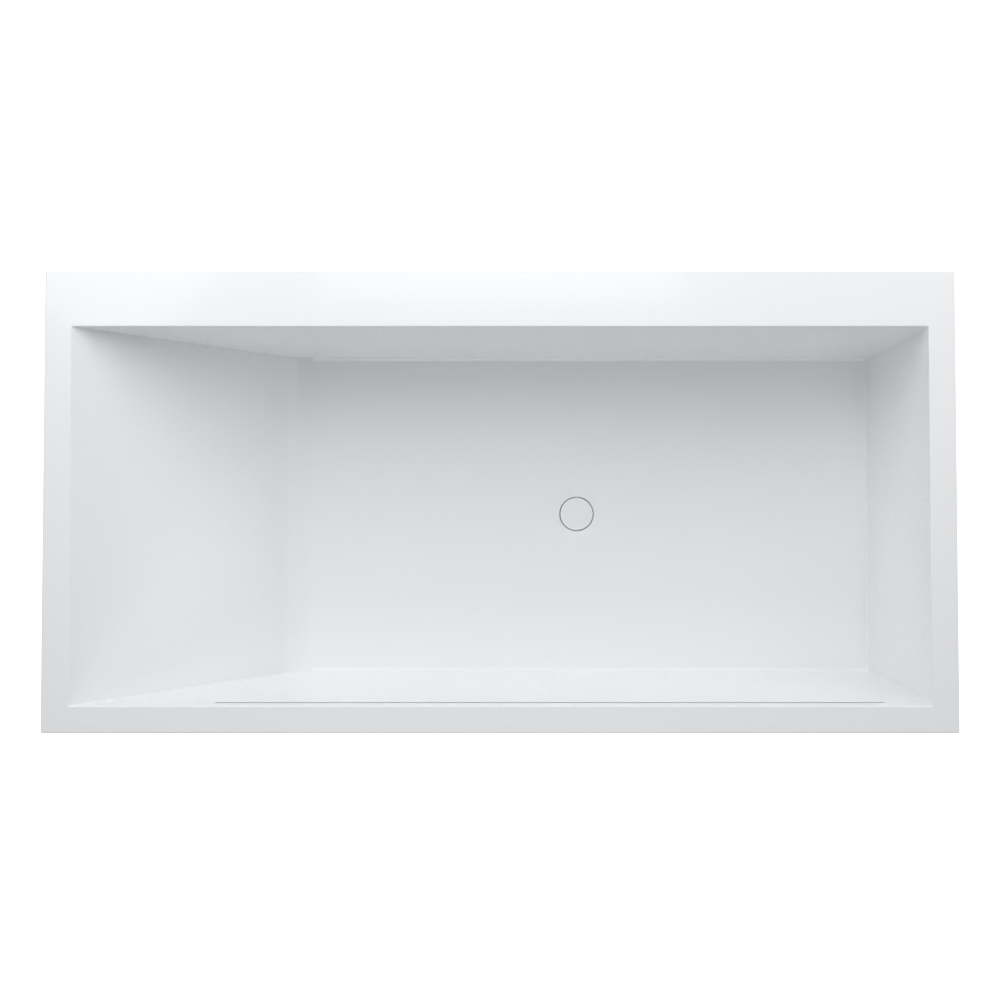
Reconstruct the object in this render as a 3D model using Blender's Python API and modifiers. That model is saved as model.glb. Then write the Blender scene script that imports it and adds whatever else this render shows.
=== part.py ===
# Freestanding bathtub: a cast basin with a tap deck in a one-piece skirt, on a levelling frame,
# with a sprung plug and waste, a shallow trap and a slot overflow. Metres, +Z up.
# +X is the foot end, -X the backrest end, +Y the tap deck, -Y the front with the overflow slot.
# The origin is on the standing surface, under the middle of the tub.

import math

import bmesh
import bpy
from mathutils import Matrix, Vector

# Driving dimensions
LENGTH = 1.700  # overall, backrest end to foot end
WIDTH = 0.860  # overall, front to back
DEPTH = 0.420  # rim to basin floor
UNDER_SPACE = 0.146  # standing surface to the basin's underside
GAP = 0.0003  # between pieces that touch
CUT_OVER = 0.004  # how far a cutter runs past what it cuts

RIM = 0.050  # rim width at the front and both ends
DECK = 0.105  # tap deck width at the back
RIM_THICKNESS = 0.012
EDGE_ROUND = 0.003
ROUND_STEPS = 2
WALL = 0.012  # basin walls
FLOOR_THICKNESS = 0.014
DRAFT = 0.020  # how far the front, back and foot walls lean in over the depth
BACKREST_ANGLE = math.radians(49.0)  # from level
BACKREST_BLEND = 0.078  # radius between backrest and floor
BLEND_STEPS = 8
FLOOR_COVE = 0.008  # radius between the other walls and the floor
COVE_STEPS = 3

SKIRT_WALL = 0.012
SKIRT_LIFT = 0.012  # under the skirt

SLOT_FROM_HEAD = 0.264  # opening's head end to the slot
SLOT_FROM_FOOT = 0.078
SLOT_HEIGHT = 0.009
SLOT_DROP = 0.038  # rim to the slot's centre line
CHANNEL_DEPTH = 0.022
CHANNEL_WALL = 0.002
CHANNEL_OVER = 0.012  # channel past the slot, above and at both ends
CHANNEL_UNDER = 0.026  # channel below the slot's centre line
CHANNEL_GASKET = 0.001
GASKET_LAND = 0.006  # overflow gasket's width round its window

RAIL_HEIGHT = 0.030
RAIL_WIDTH = 0.030
RAIL_WALL = 0.0025
RAIL_SPREAD = 0.500  # between the two rails' centre lines
BAR_SIZE = 0.040
BAR_WALL = 0.0025
BAR_LENGTH = 0.600
BAR_PAD = 0.004
BAR_PAD_MARGIN = 0.003
BAR_FROM_FLOOR_END = 0.075  # end cross bars, in from the ends of the flat floor
MIDDLE_BAR_FROM_DRAIN = 0.197

FOOT_INSET = 0.200  # feet, in from the ends
PAD_RADIUS = 0.028
PAD_HEIGHT = 0.014
STUD_RADIUS = 0.006
STUD_FIT = 0.0004
STUD_CHAMFER = 0.001
STUD_OVER = 0.010  # above the rail at the lowest setting
STUD_NECK = 0.6  # of the stud's radius, just above the pad
NECK_HEIGHT = 0.002
BALL_OVER = 0.0011  # ball beyond the stud
BALL_FIT = 0.0004
BALL_CHAMFER = 0.002
PAD_SOCKET = 0.4  # of the pad's height, below the ball
BOSS_RADIUS = 0.011
BOSS_LENGTH = 0.024
NUT_FLATS = 0.019
NUT_HEIGHT = 0.008
DRIVE_FLATS = 0.0171

BOLT_RADIUS = 0.004
BOLT_FLATS = 0.013
BOLT_HEAD = 0.005
SMALL_STEPS = 12  # sides of small round pieces
WELD_NUT_RADIUS = 0.0065
WELD_NUT_HEIGHT = 0.007
SCREW_RADIUS = 0.0025
SCREW_HEAD_RADIUS = 0.005
SCREW_CROWN = 0.6  # head's height in radii
SCREW_BITE = 0.008  # into the skirt
END_PLATE = 0.003
END_PLATE_WIDTH = 0.060

DRAIN_FROM_FOOT = 0.637  # opening's foot end to the drain
DISH_RADIUS = 0.075
DISH_DEPTH = 0.005
DISH_OVER = 0.002  # dish cutter above the floor
COVER_RADIUS = 0.0345
COVER_RING = 0.002  # gap round the cover
COVER_THICKNESS = 0.003
COVER_EDGE = 0.0007
COVER_PROUD = 0.0005
SEAL_THICKNESS = 0.0009
SEAL_WIDTH = 0.0065
SEAL_FROM_BORE = 0.002
FLANGE_THICKNESS = 0.0022
FLANGE_GASKET = 0.0012
FLANGE_FLOOR = 0.009  # basin left under the flange
WASTE_RADIUS = 0.025  # threaded tube through the floor
WASTE_WALL = 0.0035
WASTE_HOLE_FIT = 0.0012
WASTE_STEP = 0.0025  # ledge under the threaded tube
BODY_GASKET = 0.003
BODY_PLATE_RADIUS = 0.041
BODY_PLATE = 0.006
BODY_WALL = 0.0047
BODY_DROP = 0.0334  # body's top to the underside of its chamber
THREAD_REACH = 0.0094  # waste tube into the body
TAIL_RADIUS = 0.0205
TAIL_WALL = 0.003
TAIL_LENGTH = 0.0154
PORT_UNDER_TUBE = 0.004
PORT_OVER_RAIL = 0.0015  # hose clear of the front rail
PLUG_TRAVEL = 0.009
PLUG_STOP = 0.001  # left at full travel
STEM_RADIUS = 0.004
STEM_FIT = 0.0005
STEM_HEAD = 0.0015
STEM_HEAD_OVER = 0.002
STEM_COLLAR = 0.0025  # collar's width beyond the stem
STEM_COLLAR_HEIGHT = 0.0035
GUIDE_HUB = 0.0075
GUIDE_HEIGHT = 0.006
GUIDE_UP = 0.0035  # guide's underside above the tube's end
GUIDE_ARM = 0.003
GUIDE_ARM_HEIGHT = 0.7  # of the hub's height
SPRING_RADIUS = 0.0066
SPRING_WIRE = 0.0006
SPRING_TURNS = 5
SPRING_STEPS = 12  # points in each turn

TRAP_RADIUS = 0.046
TRAP_WALL = 0.003
TRAP_HEIGHT = 0.0625
TRAP_COLLAR = 0.003  # lid, flange and lip thickness
TRAP_CHAMFER = 0.004
LID_CLEAR = 0.003  # trap nut to the lid
LID_RING = 0.0025
LID_GASKET = 0.0015
NUT_CLEAR = 0.0025  # trap nut to the waste body
SOCKET_FROM_TOP = 0.0015
INLET_RADIUS = 0.0185
INLET_WALL = 0.0025
INLET_DIP = 0.0105  # dip pipe's end above the pot's floor
OUTLET_RADIUS = 0.0168
OUTLET_WALL = 0.002
OUTLET_FIT = 0.0004
OUTLET_INSERT = 0.018  # pipe inside the socket
OUTLET_NUT_GRIP = 0.016
OUTLET_NUT_WALL = 0.8  # of the trap nut's wall
OUTLET_RUN = 0.140
OUTLET_BEND = 0.030
OUTLET_END = 0.006
SOCKET_WALL = 0.0033
SOCKET_REACH = 0.032
NUT_WALL = 0.0075
WASHER = 0.0025

HOSE_RADIUS = 0.011
HOSE_WALL = 0.002
HOSE_FIT = 0.0008  # leaves room for the flats of a faceted bore
HOSE_BEND = 0.035
HOSE_GRIP = 0.018
HOSE_FROM_CHANNEL = 0.004
HOSE_FROM_PLATE = 0.002
SPIGOT_WALL = 0.002
CLIP_WIDTH = 0.010
CLIP_THICKNESS = 0.0012
CLIP_INSET = 0.003  # clip from the hose's end
SHADE_ANGLE = math.radians(35)

# Levels and planes that follow from them
FLOOR_UNDER = UNDER_SPACE
FLOOR = FLOOR_UNDER + FLOOR_THICKNESS
RIM_TOP = FLOOR + DEPTH
OPEN_HEAD = -LENGTH / 2 + RIM
OPEN_FOOT = LENGTH / 2 - RIM
OPEN_FRONT = -WIDTH / 2 + RIM
OPEN_BACK = WIDTH / 2 - DECK
HEAD_RUN = DEPTH / math.tan(BACKREST_ANGLE)
DRAFT_ANGLE = math.atan(DRAFT / DEPTH)

BAR_TOP = FLOOR_UNDER - BAR_PAD - 2 * GAP
BAR_BOTTOM = BAR_TOP - BAR_SIZE
RAIL_TOP = BAR_BOTTOM - GAP
RAIL_BOTTOM = RAIL_TOP - RAIL_HEIGHT
RAIL_ENDS = LENGTH / 2 - SKIRT_WALL - GAP

DRAIN = Vector((OPEN_FOOT - DRAIN_FROM_FOOT, (OPEN_FRONT + OPEN_BACK) / 2, 0.0))
POCKET_RADIUS = COVER_RADIUS + COVER_RING
COVER_TOP = FLOOR - DISH_DEPTH + COVER_PROUD
COVER_UNDER = COVER_TOP - COVER_THICKNESS
FLANGE_TOP = COVER_UNDER - SEAL_THICKNESS - 2 * GAP
FLANGE_UNDER = FLANGE_TOP - FLANGE_THICKNESS
POCKET_FLOOR = FLANGE_UNDER - FLANGE_GASKET - 2 * GAP
DRAIN_BOSS = POCKET_FLOOR - FLANGE_FLOOR
BODY_TOP = DRAIN_BOSS - BODY_GASKET - 2 * GAP
TUBE_END = BODY_TOP - THREAD_REACH
CHAMBER = BODY_TOP - BODY_DROP
TAIL_END = CHAMBER - TAIL_LENGTH
WASTE_BORE = WASTE_RADIUS - WASTE_WALL
WASTE_HOLE = WASTE_RADIUS + WASTE_HOLE_FIT
PORT_BORE = HOSE_RADIUS - HOSE_WALL - HOSE_FIT - SPIGOT_WALL
PORT_RADIUS = PORT_BORE + SPIGOT_WALL
PORT_LEVEL = max(TUBE_END - PORT_BORE - PORT_UNDER_TUBE, RAIL_TOP + HOSE_RADIUS + PORT_OVER_RAIL)
PORT_END = BODY_PLATE_RADIUS + HOSE_GRIP

LID_TOP = TAIL_END - WASHER - 2 * TRAP_COLLAR - 6 * GAP - LID_CLEAR
LID_UNDER = LID_TOP - TRAP_COLLAR
POT_TOP = LID_UNDER - LID_GASKET - 2 * GAP
POT_BOTTOM = POT_TOP - TRAP_HEIGHT
OUTLET_LEVEL = POT_TOP - SOCKET_FROM_TOP - OUTLET_RADIUS - OUTLET_FIT - SOCKET_WALL
SOCKET_BORE = OUTLET_RADIUS + OUTLET_FIT
SOCKET_RADIUS = SOCKET_BORE + SOCKET_WALL
SOCKET_END = TRAP_RADIUS + SOCKET_REACH

SLOT_LEVEL = RIM_TOP - SLOT_DROP
SLOT_HEAD = OPEN_HEAD + SLOT_FROM_HEAD
SLOT_FOOT = OPEN_FOOT - SLOT_FROM_FOOT

parts = bpy.data.collections.new("bathtub")
cutters = bpy.data.collections.new("bathtub_cutters")


def clear_scene():
    for obj in list(bpy.data.objects):
        bpy.data.objects.remove(obj, do_unlink=True)
    for collection in (parts, cutters):
        bpy.context.scene.collection.children.link(collection)


def material(name, colour, roughness, metallic=0.0):
    made = bpy.data.materials.new(name)
    made.use_nodes = True
    made.diffuse_color = (*colour, 1.0)
    shader = made.node_tree.nodes["Principled BSDF"]
    shader.inputs["Base Color"].default_value = (*colour, 1.0)
    shader.inputs["Roughness"].default_value = roughness
    shader.inputs["Metallic"].default_value = metallic
    return made


def place(name, mesh, look=None, parent=None, origin=(0, 0, 0)):
    """Puts a mesh in the scene: as a part, or as a cutter if it has no look."""
    obj = bpy.data.objects.new(name, mesh)
    (parts if look else cutters).objects.link(obj)
    obj.parent = parent
    obj.location = origin
    if look:
        mesh.materials.clear()
        mesh.materials.append(look)
    else:
        obj.hide_render = True
        obj.display_type = "WIRE"
    return obj


def to_mesh(name, bm):
    mesh = bpy.data.meshes.new(name)
    bm.to_mesh(mesh)
    bm.free()
    return mesh


def baked(obj):
    """The object's mesh with its modifiers in it; the object itself goes."""
    bpy.context.view_layer.update()
    result = obj.evaluated_get(bpy.context.evaluated_depsgraph_get())
    mesh = bpy.data.meshes.new_from_object(result)
    mesh.name = obj.name
    bpy.data.objects.remove(obj, do_unlink=True)
    mesh.shade_smooth()
    mesh.set_sharp_from_angle(angle=SHADE_ANGLE)
    return mesh


def marker(name, location):
    empty = bpy.data.objects.new(name, None)
    parts.objects.link(empty)
    empty.location = location
    return empty


def boolean(obj, tool, operation):
    change = obj.modifiers.new(tool.name, "BOOLEAN")
    change.object = tool
    change.operation = operation
    change.solver = "EXACT"


def cut(obj, tool):
    boolean(obj, tool, "DIFFERENCE")


def join(obj, tool):
    boolean(obj, tool, "UNION")


def hopper_mesh(name, top, bottom, z_top, z_bottom, bevels=()):
    """A box with its own top and bottom, (x low, x high, y low, y high); bevels: (test, width, steps)."""
    bm = bmesh.new()
    bmesh.ops.create_cube(bm, size=2)
    for vert in bm.verts:
        x_low, x_high, y_low, y_high = top if vert.co.z > 0 else bottom
        x = x_high if vert.co.x > 0 else x_low
        y = y_high if vert.co.y > 0 else y_low
        vert.co = (x, y, z_top if vert.co.z > 0 else z_bottom)
    for test, width, steps in bevels:
        edges = [edge for edge in bm.edges if test(edge.verts[0].co, edge.verts[1].co)]
        bmesh.ops.bevel(bm, geom=edges, offset=width, segments=steps, profile=0.5, affect="EDGES")
    return to_mesh(name, bm)


def block_mesh(name, low, high, bevels=()):
    sides = (low[0], high[0], low[1], high[1])
    return hopper_mesh(name, sides, sides, high[2], low[2], bevels)


def block(name, low, high, look=None, bevels=()):
    return place(name, block_mesh(name, low, high, bevels), look)


def turned_mesh(name, outline, steps=24, ring=True):
    """Turns (radius, z) points about Z; they run down the outer side and back up the bore."""
    mesh = bpy.data.meshes.new(name)
    count = len(outline)
    edges = [(i, i + 1) for i in range(count - 1)]
    if ring:
        edges.append((count - 1, 0))
    mesh.from_pydata([(radius, 0, z) for radius, z in outline], edges, [])
    profile = bpy.data.objects.new(name, mesh)
    cutters.objects.link(profile)
    turn = profile.modifiers.new("Turn", "SCREW")
    turn.steps = steps
    turn.render_steps = steps
    turn.use_merge_vertices = True
    turn.merge_threshold = 0.00001
    return baked(profile)


def ring_outline(outer, inner, z_top, z_bottom):
    return [(outer, z_top), (outer, z_bottom), (inner, z_bottom), (inner, z_top)]


def rod_mesh(name, radius, z_top, z_bottom, steps=16):
    outline = [(0, z_top), (radius, z_top), (radius, z_bottom), (0, z_bottom)]
    return turned_mesh(name, outline, steps, ring=False)


def hex_mesh(name, flats, z_top, z_bottom):
    bm = bmesh.new()
    corner = flats / 2 / math.cos(math.radians(30))
    height = z_top - z_bottom
    shift = Matrix.Translation((0, 0, (z_top + z_bottom) / 2))
    bmesh.ops.create_cone(
        bm, cap_ends=True, segments=6, radius1=corner, radius2=corner, depth=height, matrix=shift
    )
    return to_mesh(name, bm)


def arc_route(points, radius, steps=6):
    """A line through the points, with each inner corner rounded to the radius."""
    route = [Vector(points[0])]
    for before, corner, after in zip(points, points[1:], points[2:]):
        corner = Vector(corner)
        inward = (Vector(before) - corner).normalized()
        onward = (Vector(after) - corner).normalized()
        half = inward.angle(onward) / 2
        reach = radius / math.tan(half)
        centre = corner + (inward + onward).normalized() * radius / math.sin(half)
        start = corner + inward * reach - centre
        finish = corner + onward * reach - centre
        swing = start.angle(finish)
        for step in range(steps + 1):
            share = step / steps
            bent = start * math.sin((1 - share) * swing) + finish * math.sin(share * swing)
            route.append(centre + bent / math.sin(swing))
    route.append(Vector(points[-1]))
    return route


def tube_mesh(name, route, radius, wall=0.0, resolution=3):
    """A tube along a route: solid with caps, or open with its wall inside the radius."""
    line = bpy.data.curves.new(name, "CURVE")
    line.dimensions = "3D"
    line.bevel_depth = radius
    line.bevel_resolution = resolution
    line.use_fill_caps = wall == 0.0
    spline = line.splines.new("POLY")
    spline.points.add(len(route) - 1)
    for point, place_of_point in zip(spline.points, route):
        point.co = (*place_of_point, 1.0)
    pipe = bpy.data.objects.new(name, line)
    cutters.objects.link(pipe)
    mesh = baked(pipe)
    bm = bmesh.new()
    bm.from_mesh(mesh)
    bmesh.ops.remove_doubles(bm, verts=bm.verts, dist=0.00001)
    bmesh.ops.recalc_face_normals(bm, faces=bm.faces)
    bm.to_mesh(mesh)
    bm.free()
    return mesh


def along(edge_axis, *conditions):
    """Picks edges parallel to an axis (0, 1, 2) whose middle passes each condition."""

    def test(a, b):
        others = [axis for axis in range(3) if axis != edge_axis]
        straight = all(abs(a[axis] - b[axis]) < 1e-6 for axis in others)
        middle = (a + b) / 2
        return straight and all(condition(middle) for condition in conditions)

    return test


def well_sides(z, offset=0.0):
    """The basin's inner faces at a level, moved outwards square to each face by the offset."""
    down = (RIM_TOP - z) / DEPTH
    side = offset / math.cos(DRAFT_ANGLE)
    head = OPEN_HEAD + HEAD_RUN * down - offset / math.sin(BACKREST_ANGLE)
    foot = OPEN_FOOT - DRAFT * down + side
    front = OPEN_FRONT + DRAFT * down - side
    back = OPEN_BACK - DRAFT * down + side
    return head, foot, front, back


def fillet_reach(radius, open_angle):
    return radius / math.tan(open_angle / 2)


def build_basin(look):
    low = (-LENGTH / 2, -WIDTH / 2, RIM_TOP - RIM_THICKNESS)
    high = (LENGTH / 2, WIDTH / 2, RIM_TOP)
    upright = (along(2), EDGE_ROUND, ROUND_STEPS)
    top_edges = (lambda a, b: a.z > RIM_TOP - 1e-6 and b.z > RIM_TOP - 1e-6, EDGE_ROUND, ROUND_STEPS)
    basin = block("basin_shell", low, high, look, (upright, top_edges))

    def head_bevel(level, radius):
        reach = fillet_reach(radius, math.pi - BACKREST_ANGLE)
        at_head = along(1, lambda middle: abs(middle.z - level) < 1e-6 and middle.x < 0)
        return at_head, reach, BLEND_STEPS

    body_top = RIM_TOP - RIM_THICKNESS / 2
    body = hopper_mesh(
        "basin_body", well_sides(body_top, WALL), well_sides(FLOOR_UNDER, WALL),
        body_top, FLOOR_UNDER, [head_bevel(FLOOR_UNDER, BACKREST_BLEND + WALL)],
    )
    join(basin, place("basin_body", body))
    boss = rod_mesh("drain_boss", DISH_RADIUS, FLOOR_UNDER + FLOOR_THICKNESS / 2, DRAIN_BOSS, 32)
    join(basin, place("drain_boss", boss, origin=DRAIN))

    above = RIM_TOP + RIM_THICKNESS
    reach = fillet_reach(FLOOR_COVE, math.pi / 2 + DRAFT_ANGLE)
    sides = along(0, lambda middle: abs(middle.z - FLOOR) < 1e-6)
    foot = along(1, lambda middle: abs(middle.z - FLOOR) < 1e-6 and middle.x > 0)
    cove = (lambda a, b: sides(a, b) or foot(a, b), reach, COVE_STEPS)
    well = hopper_mesh(
        "basin_well", well_sides(above), well_sides(FLOOR), above, FLOOR,
        [head_bevel(FLOOR, BACKREST_BLEND), cove],
    )
    cut(basin, place("basin_well", well))
    cut(basin, slot_cutter())

    slope = DISH_DEPTH / (DISH_RADIUS - POCKET_RADIUS)
    dish = [
        (0, FLOOR + DISH_OVER), (DISH_RADIUS + DISH_OVER / slope, FLOOR + DISH_OVER),
        (POCKET_RADIUS, FLOOR - DISH_DEPTH), (POCKET_RADIUS, POCKET_FLOOR), (0, POCKET_FLOOR),
    ]
    cut(basin, place("drain_dish", turned_mesh("drain_dish", dish, 40, ring=False), origin=DRAIN))
    hole = rod_mesh("drain_hole", WASTE_HOLE, COVER_TOP, DRAIN_BOSS - CUT_OVER, 24)
    cut(basin, place("drain_hole", hole, origin=DRAIN))


def slot_cutter():
    """The overflow slot: a long bar with round ends, level through the front wall."""
    inside = OPEN_FRONT + 2 * DRAFT
    outside = OPEN_FRONT - 2 * WALL
    low = (SLOT_HEAD, outside, SLOT_LEVEL - SLOT_HEIGHT / 2)
    high = (SLOT_FOOT, inside, SLOT_LEVEL + SLOT_HEIGHT / 2)
    ends = (along(1), SLOT_HEIGHT * 0.499, 4)
    return block("slot_cutter", low, high, bevels=[ends])


def build_skirt(look):
    top = RIM_TOP - RIM_THICKNESS - GAP
    low = (-LENGTH / 2, -WIDTH / 2, SKIRT_LIFT)
    high = (LENGTH / 2, WIDTH / 2, top)
    skirt = block("outer_skirt", low, high, look, [(along(2), EDGE_ROUND, ROUND_STEPS)])
    inside_low = (low[0] + SKIRT_WALL, low[1] + SKIRT_WALL, low[2] - SKIRT_WALL)
    inside_high = (high[0] - SKIRT_WALL, high[1] - SKIRT_WALL, top + SKIRT_WALL)
    cut(skirt, block("skirt_inside", inside_low, inside_high))
    return skirt


def build_overflow(channel_look, rubber, hose_look, steel):
    _, _, front, _ = well_sides(SLOT_LEVEL, WALL)
    wall_frame = Matrix.Translation((0, front, SLOT_LEVEL)) @ Matrix.Rotation(DRAFT_ANGLE, 4, "X")
    top = SLOT_HEIGHT / 2 + CHANNEL_OVER
    face = -CHANNEL_GASKET - 2 * GAP
    low = (SLOT_HEAD - CHANNEL_OVER, face - CHANNEL_DEPTH, -CHANNEL_UNDER)
    high = (SLOT_FOOT + CHANNEL_OVER, face, top)

    def leaned(name, low_corner, high_corner, look=None):
        made = block(name, low_corner, high_corner, look)
        made.matrix_world = wall_frame
        return made

    channel = leaned("overflow_channel", low, high, channel_look)
    inner_low = [value + CHANNEL_WALL for value in low]
    inner_high = [high[0] - CHANNEL_WALL, CHANNEL_DEPTH, high[2] - CHANNEL_WALL]
    axis = channel_axis(front)
    spigot_top = SLOT_LEVEL - CHANNEL_UNDER + 2 * CHANNEL_WALL
    spigot_end = SLOT_LEVEL - CHANNEL_UNDER - HOSE_GRIP
    spigot = rod_mesh("channel_spigot", PORT_RADIUS, spigot_top, spigot_end)
    join(channel, place("channel_spigot", spigot, origin=axis))
    cut(channel, leaned("channel_inside", inner_low, inner_high))
    drop = rod_mesh("channel_drop", PORT_BORE, spigot_top + CHANNEL_WALL, spigot_end - CUT_OVER)
    cut(channel, place("channel_drop", drop, origin=axis))

    gasket_low = (low[0], -GAP - CHANNEL_GASKET, low[2])
    gasket_high = (high[0], -GAP, high[2])
    gasket = leaned("overflow_gasket", gasket_low, gasket_high, rubber)
    window_low = (low[0] + GASKET_LAND, -CHANNEL_DEPTH, low[2] + GASKET_LAND)
    window_high = (high[0] - GASKET_LAND, CHANNEL_DEPTH, high[2] - GASKET_LAND)
    cut(gasket, leaned("gasket_window", window_low, window_high))

    hose_top = SLOT_LEVEL - CHANNEL_UNDER - HOSE_FROM_CHANNEL
    hose_end = DRAIN.y - BODY_PLATE_RADIUS - HOSE_FROM_PLATE
    corners = [
        (axis.x, axis.y, hose_top), (axis.x, axis.y, PORT_LEVEL), (axis.x, hose_end, PORT_LEVEL)
    ]
    route = arc_route(corners, HOSE_BEND)
    hose = place("overflow_hose", tube_mesh("overflow_hose", route, HOSE_RADIUS, HOSE_WALL), hose_look)
    thicken(hose, HOSE_WALL)

    clip_inner = HOSE_RADIUS + GAP
    room = front - axis.y - GAP
    clip_outer = min(clip_inner + CLIP_THICKNESS, room)
    upper = hose_top - CLIP_INSET
    band = ring_outline(clip_outer, clip_inner, upper, upper - CLIP_WIDTH)
    place("hose_clip_top", turned_mesh("hose_clip_top", band, 20), steel, origin=axis)
    band = ring_outline(clip_outer, clip_inner, CLIP_WIDTH / 2, -CLIP_WIDTH / 2)
    lower = place("hose_clip_bottom", turned_mesh("hose_clip_bottom", band, 20), steel)
    lower.location = (DRAIN.x, hose_end - CLIP_INSET - CLIP_WIDTH / 2, PORT_LEVEL)
    lower.rotation_euler.x = math.radians(90)


def channel_axis(front):
    """The axis of the hose's upright run, midway between the basin wall and the skirt."""
    skirt_inside = -WIDTH / 2 + SKIRT_WALL
    return Vector((DRAIN.x, (front + skirt_inside) / 2, 0.0))


def thicken(obj, wall):
    shell = obj.modifiers.new("Wall", "SOLIDIFY")
    shell.thickness = wall
    shell.offset = -1.0
    shell.use_even_offset = True


def bar_places():
    """Cross bar centre lines along X, from the head end."""
    floor_head, floor_foot, _, _ = well_sides(FLOOR)
    head_tangent = floor_head + fillet_reach(BACKREST_BLEND, math.pi - BACKREST_ANGLE)
    head = head_tangent + BAR_FROM_FLOOR_END
    foot = floor_foot - BAR_FROM_FLOOR_END
    return {"head": head, "middle": DRAIN.x + MIDDLE_BAR_FROM_DRAIN, "foot": foot}


def build_frame(paint, rubber, zinc):
    feet = (-LENGTH / 2 + FOOT_INSET, LENGTH / 2 - FOOT_INSET)
    for side, sign in (("front", -1), ("back", 1)):
        y = sign * RAIL_SPREAD / 2
        low = (-RAIL_ENDS, y - RAIL_WIDTH / 2, RAIL_BOTTOM)
        high = (RAIL_ENDS, y + RAIL_WIDTH / 2, RAIL_TOP)
        rail = block(f"rail_{side}", low, high, paint)
        inside_low = (low[0] - CUT_OVER, low[1] + RAIL_WALL, low[2] - CUT_OVER)
        inside_high = (high[0] + CUT_OVER, high[1] - RAIL_WALL, high[2] - RAIL_WALL)
        cut(rail, block(f"rail_{side}_inside", inside_low, inside_high))
        for end, direction in (("head", -1), ("foot", 1)):
            outer = direction * RAIL_ENDS
            inner = outer - direction * END_PLATE
            plate_low = (min(outer, inner), y - END_PLATE_WIDTH / 2, RAIL_BOTTOM)
            plate_high = (max(outer, inner), y + END_PLATE_WIDTH / 2, RAIL_TOP)
            join(rail, block(f"rail_{side}_{end}_plate", plate_low, plate_high))
        for end, x in zip(("head", "foot"), feet):
            boss = rod_mesh("foot_boss", BOSS_RADIUS, RAIL_TOP - RAIL_WALL / 2, boss_end())
            join(rail, place(f"boss_{side}_{end}", boss, origin=(x, y, 0)))
            bore = rod_mesh("foot_bore", STUD_RADIUS + STUD_FIT, RAIL_TOP + CUT_OVER, boss_end() - CUT_OVER)
            cut(rail, place(f"bore_{side}_{end}", bore, origin=(x, y, 0)))
        for name, x in bar_places().items():
            ends = (RAIL_TOP + CUT_OVER, RAIL_TOP - RAIL_WALL - CUT_OVER)
            hole = rod_mesh("bar_hole", BOLT_RADIUS + STUD_FIT, *ends, SMALL_STEPS)
            cut(rail, place(f"hole_{side}_{name}", hole, origin=(x, y, 0)))
        screw_level = RAIL_BOTTOM + RAIL_HEIGHT / 2
        for end, direction in (("head", -1), ("foot", 1)):
            build_skirt_screw(f"skirt_screw_{end}_{side}", rail, direction, y, sign, screw_level, zinc)

    for name, x in bar_places().items():
        build_cross_bar(name, x, paint, rubber, zinc)


def boss_end():
    return RAIL_TOP - BOSS_LENGTH


def build_skirt_screw(name, rail, direction, rail_y, sign, level, zinc):
    """A screw from inside, through the rail's end plate into the skirt."""
    y = rail_y + sign * (RAIL_WIDTH / 2 + END_PLATE_WIDTH / 2) / 2
    tip = END_PLATE + GAP + SCREW_BITE
    crown = GAP + SCREW_HEAD_RADIUS * SCREW_CROWN
    head = [
        (0, crown), (SCREW_HEAD_RADIUS / 2, crown), (SCREW_HEAD_RADIUS, (crown + GAP) / 2),
        (SCREW_HEAD_RADIUS, GAP), (SCREW_RADIUS, GAP), (SCREW_RADIUS, -tip + SCREW_RADIUS), (0, -tip),
    ]
    turn = Matrix.Rotation(math.radians(-90 * direction), 4, "Y")
    at = Matrix.Translation((direction * (RAIL_ENDS - END_PLATE), y, level)) @ turn
    screw = place(name, turned_mesh("skirt_screw", head, SMALL_STEPS, ring=False), zinc)
    screw.matrix_world = at
    hole = rod_mesh("screw_hole", SCREW_RADIUS + GAP, SCREW_HEAD_RADIUS, -tip - 2 * GAP, SMALL_STEPS)
    tool = place(f"{name}_hole", hole)
    tool.matrix_world = at
    cut(rail, tool)
    cut(bpy.data.objects["outer_skirt"], tool)


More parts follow.
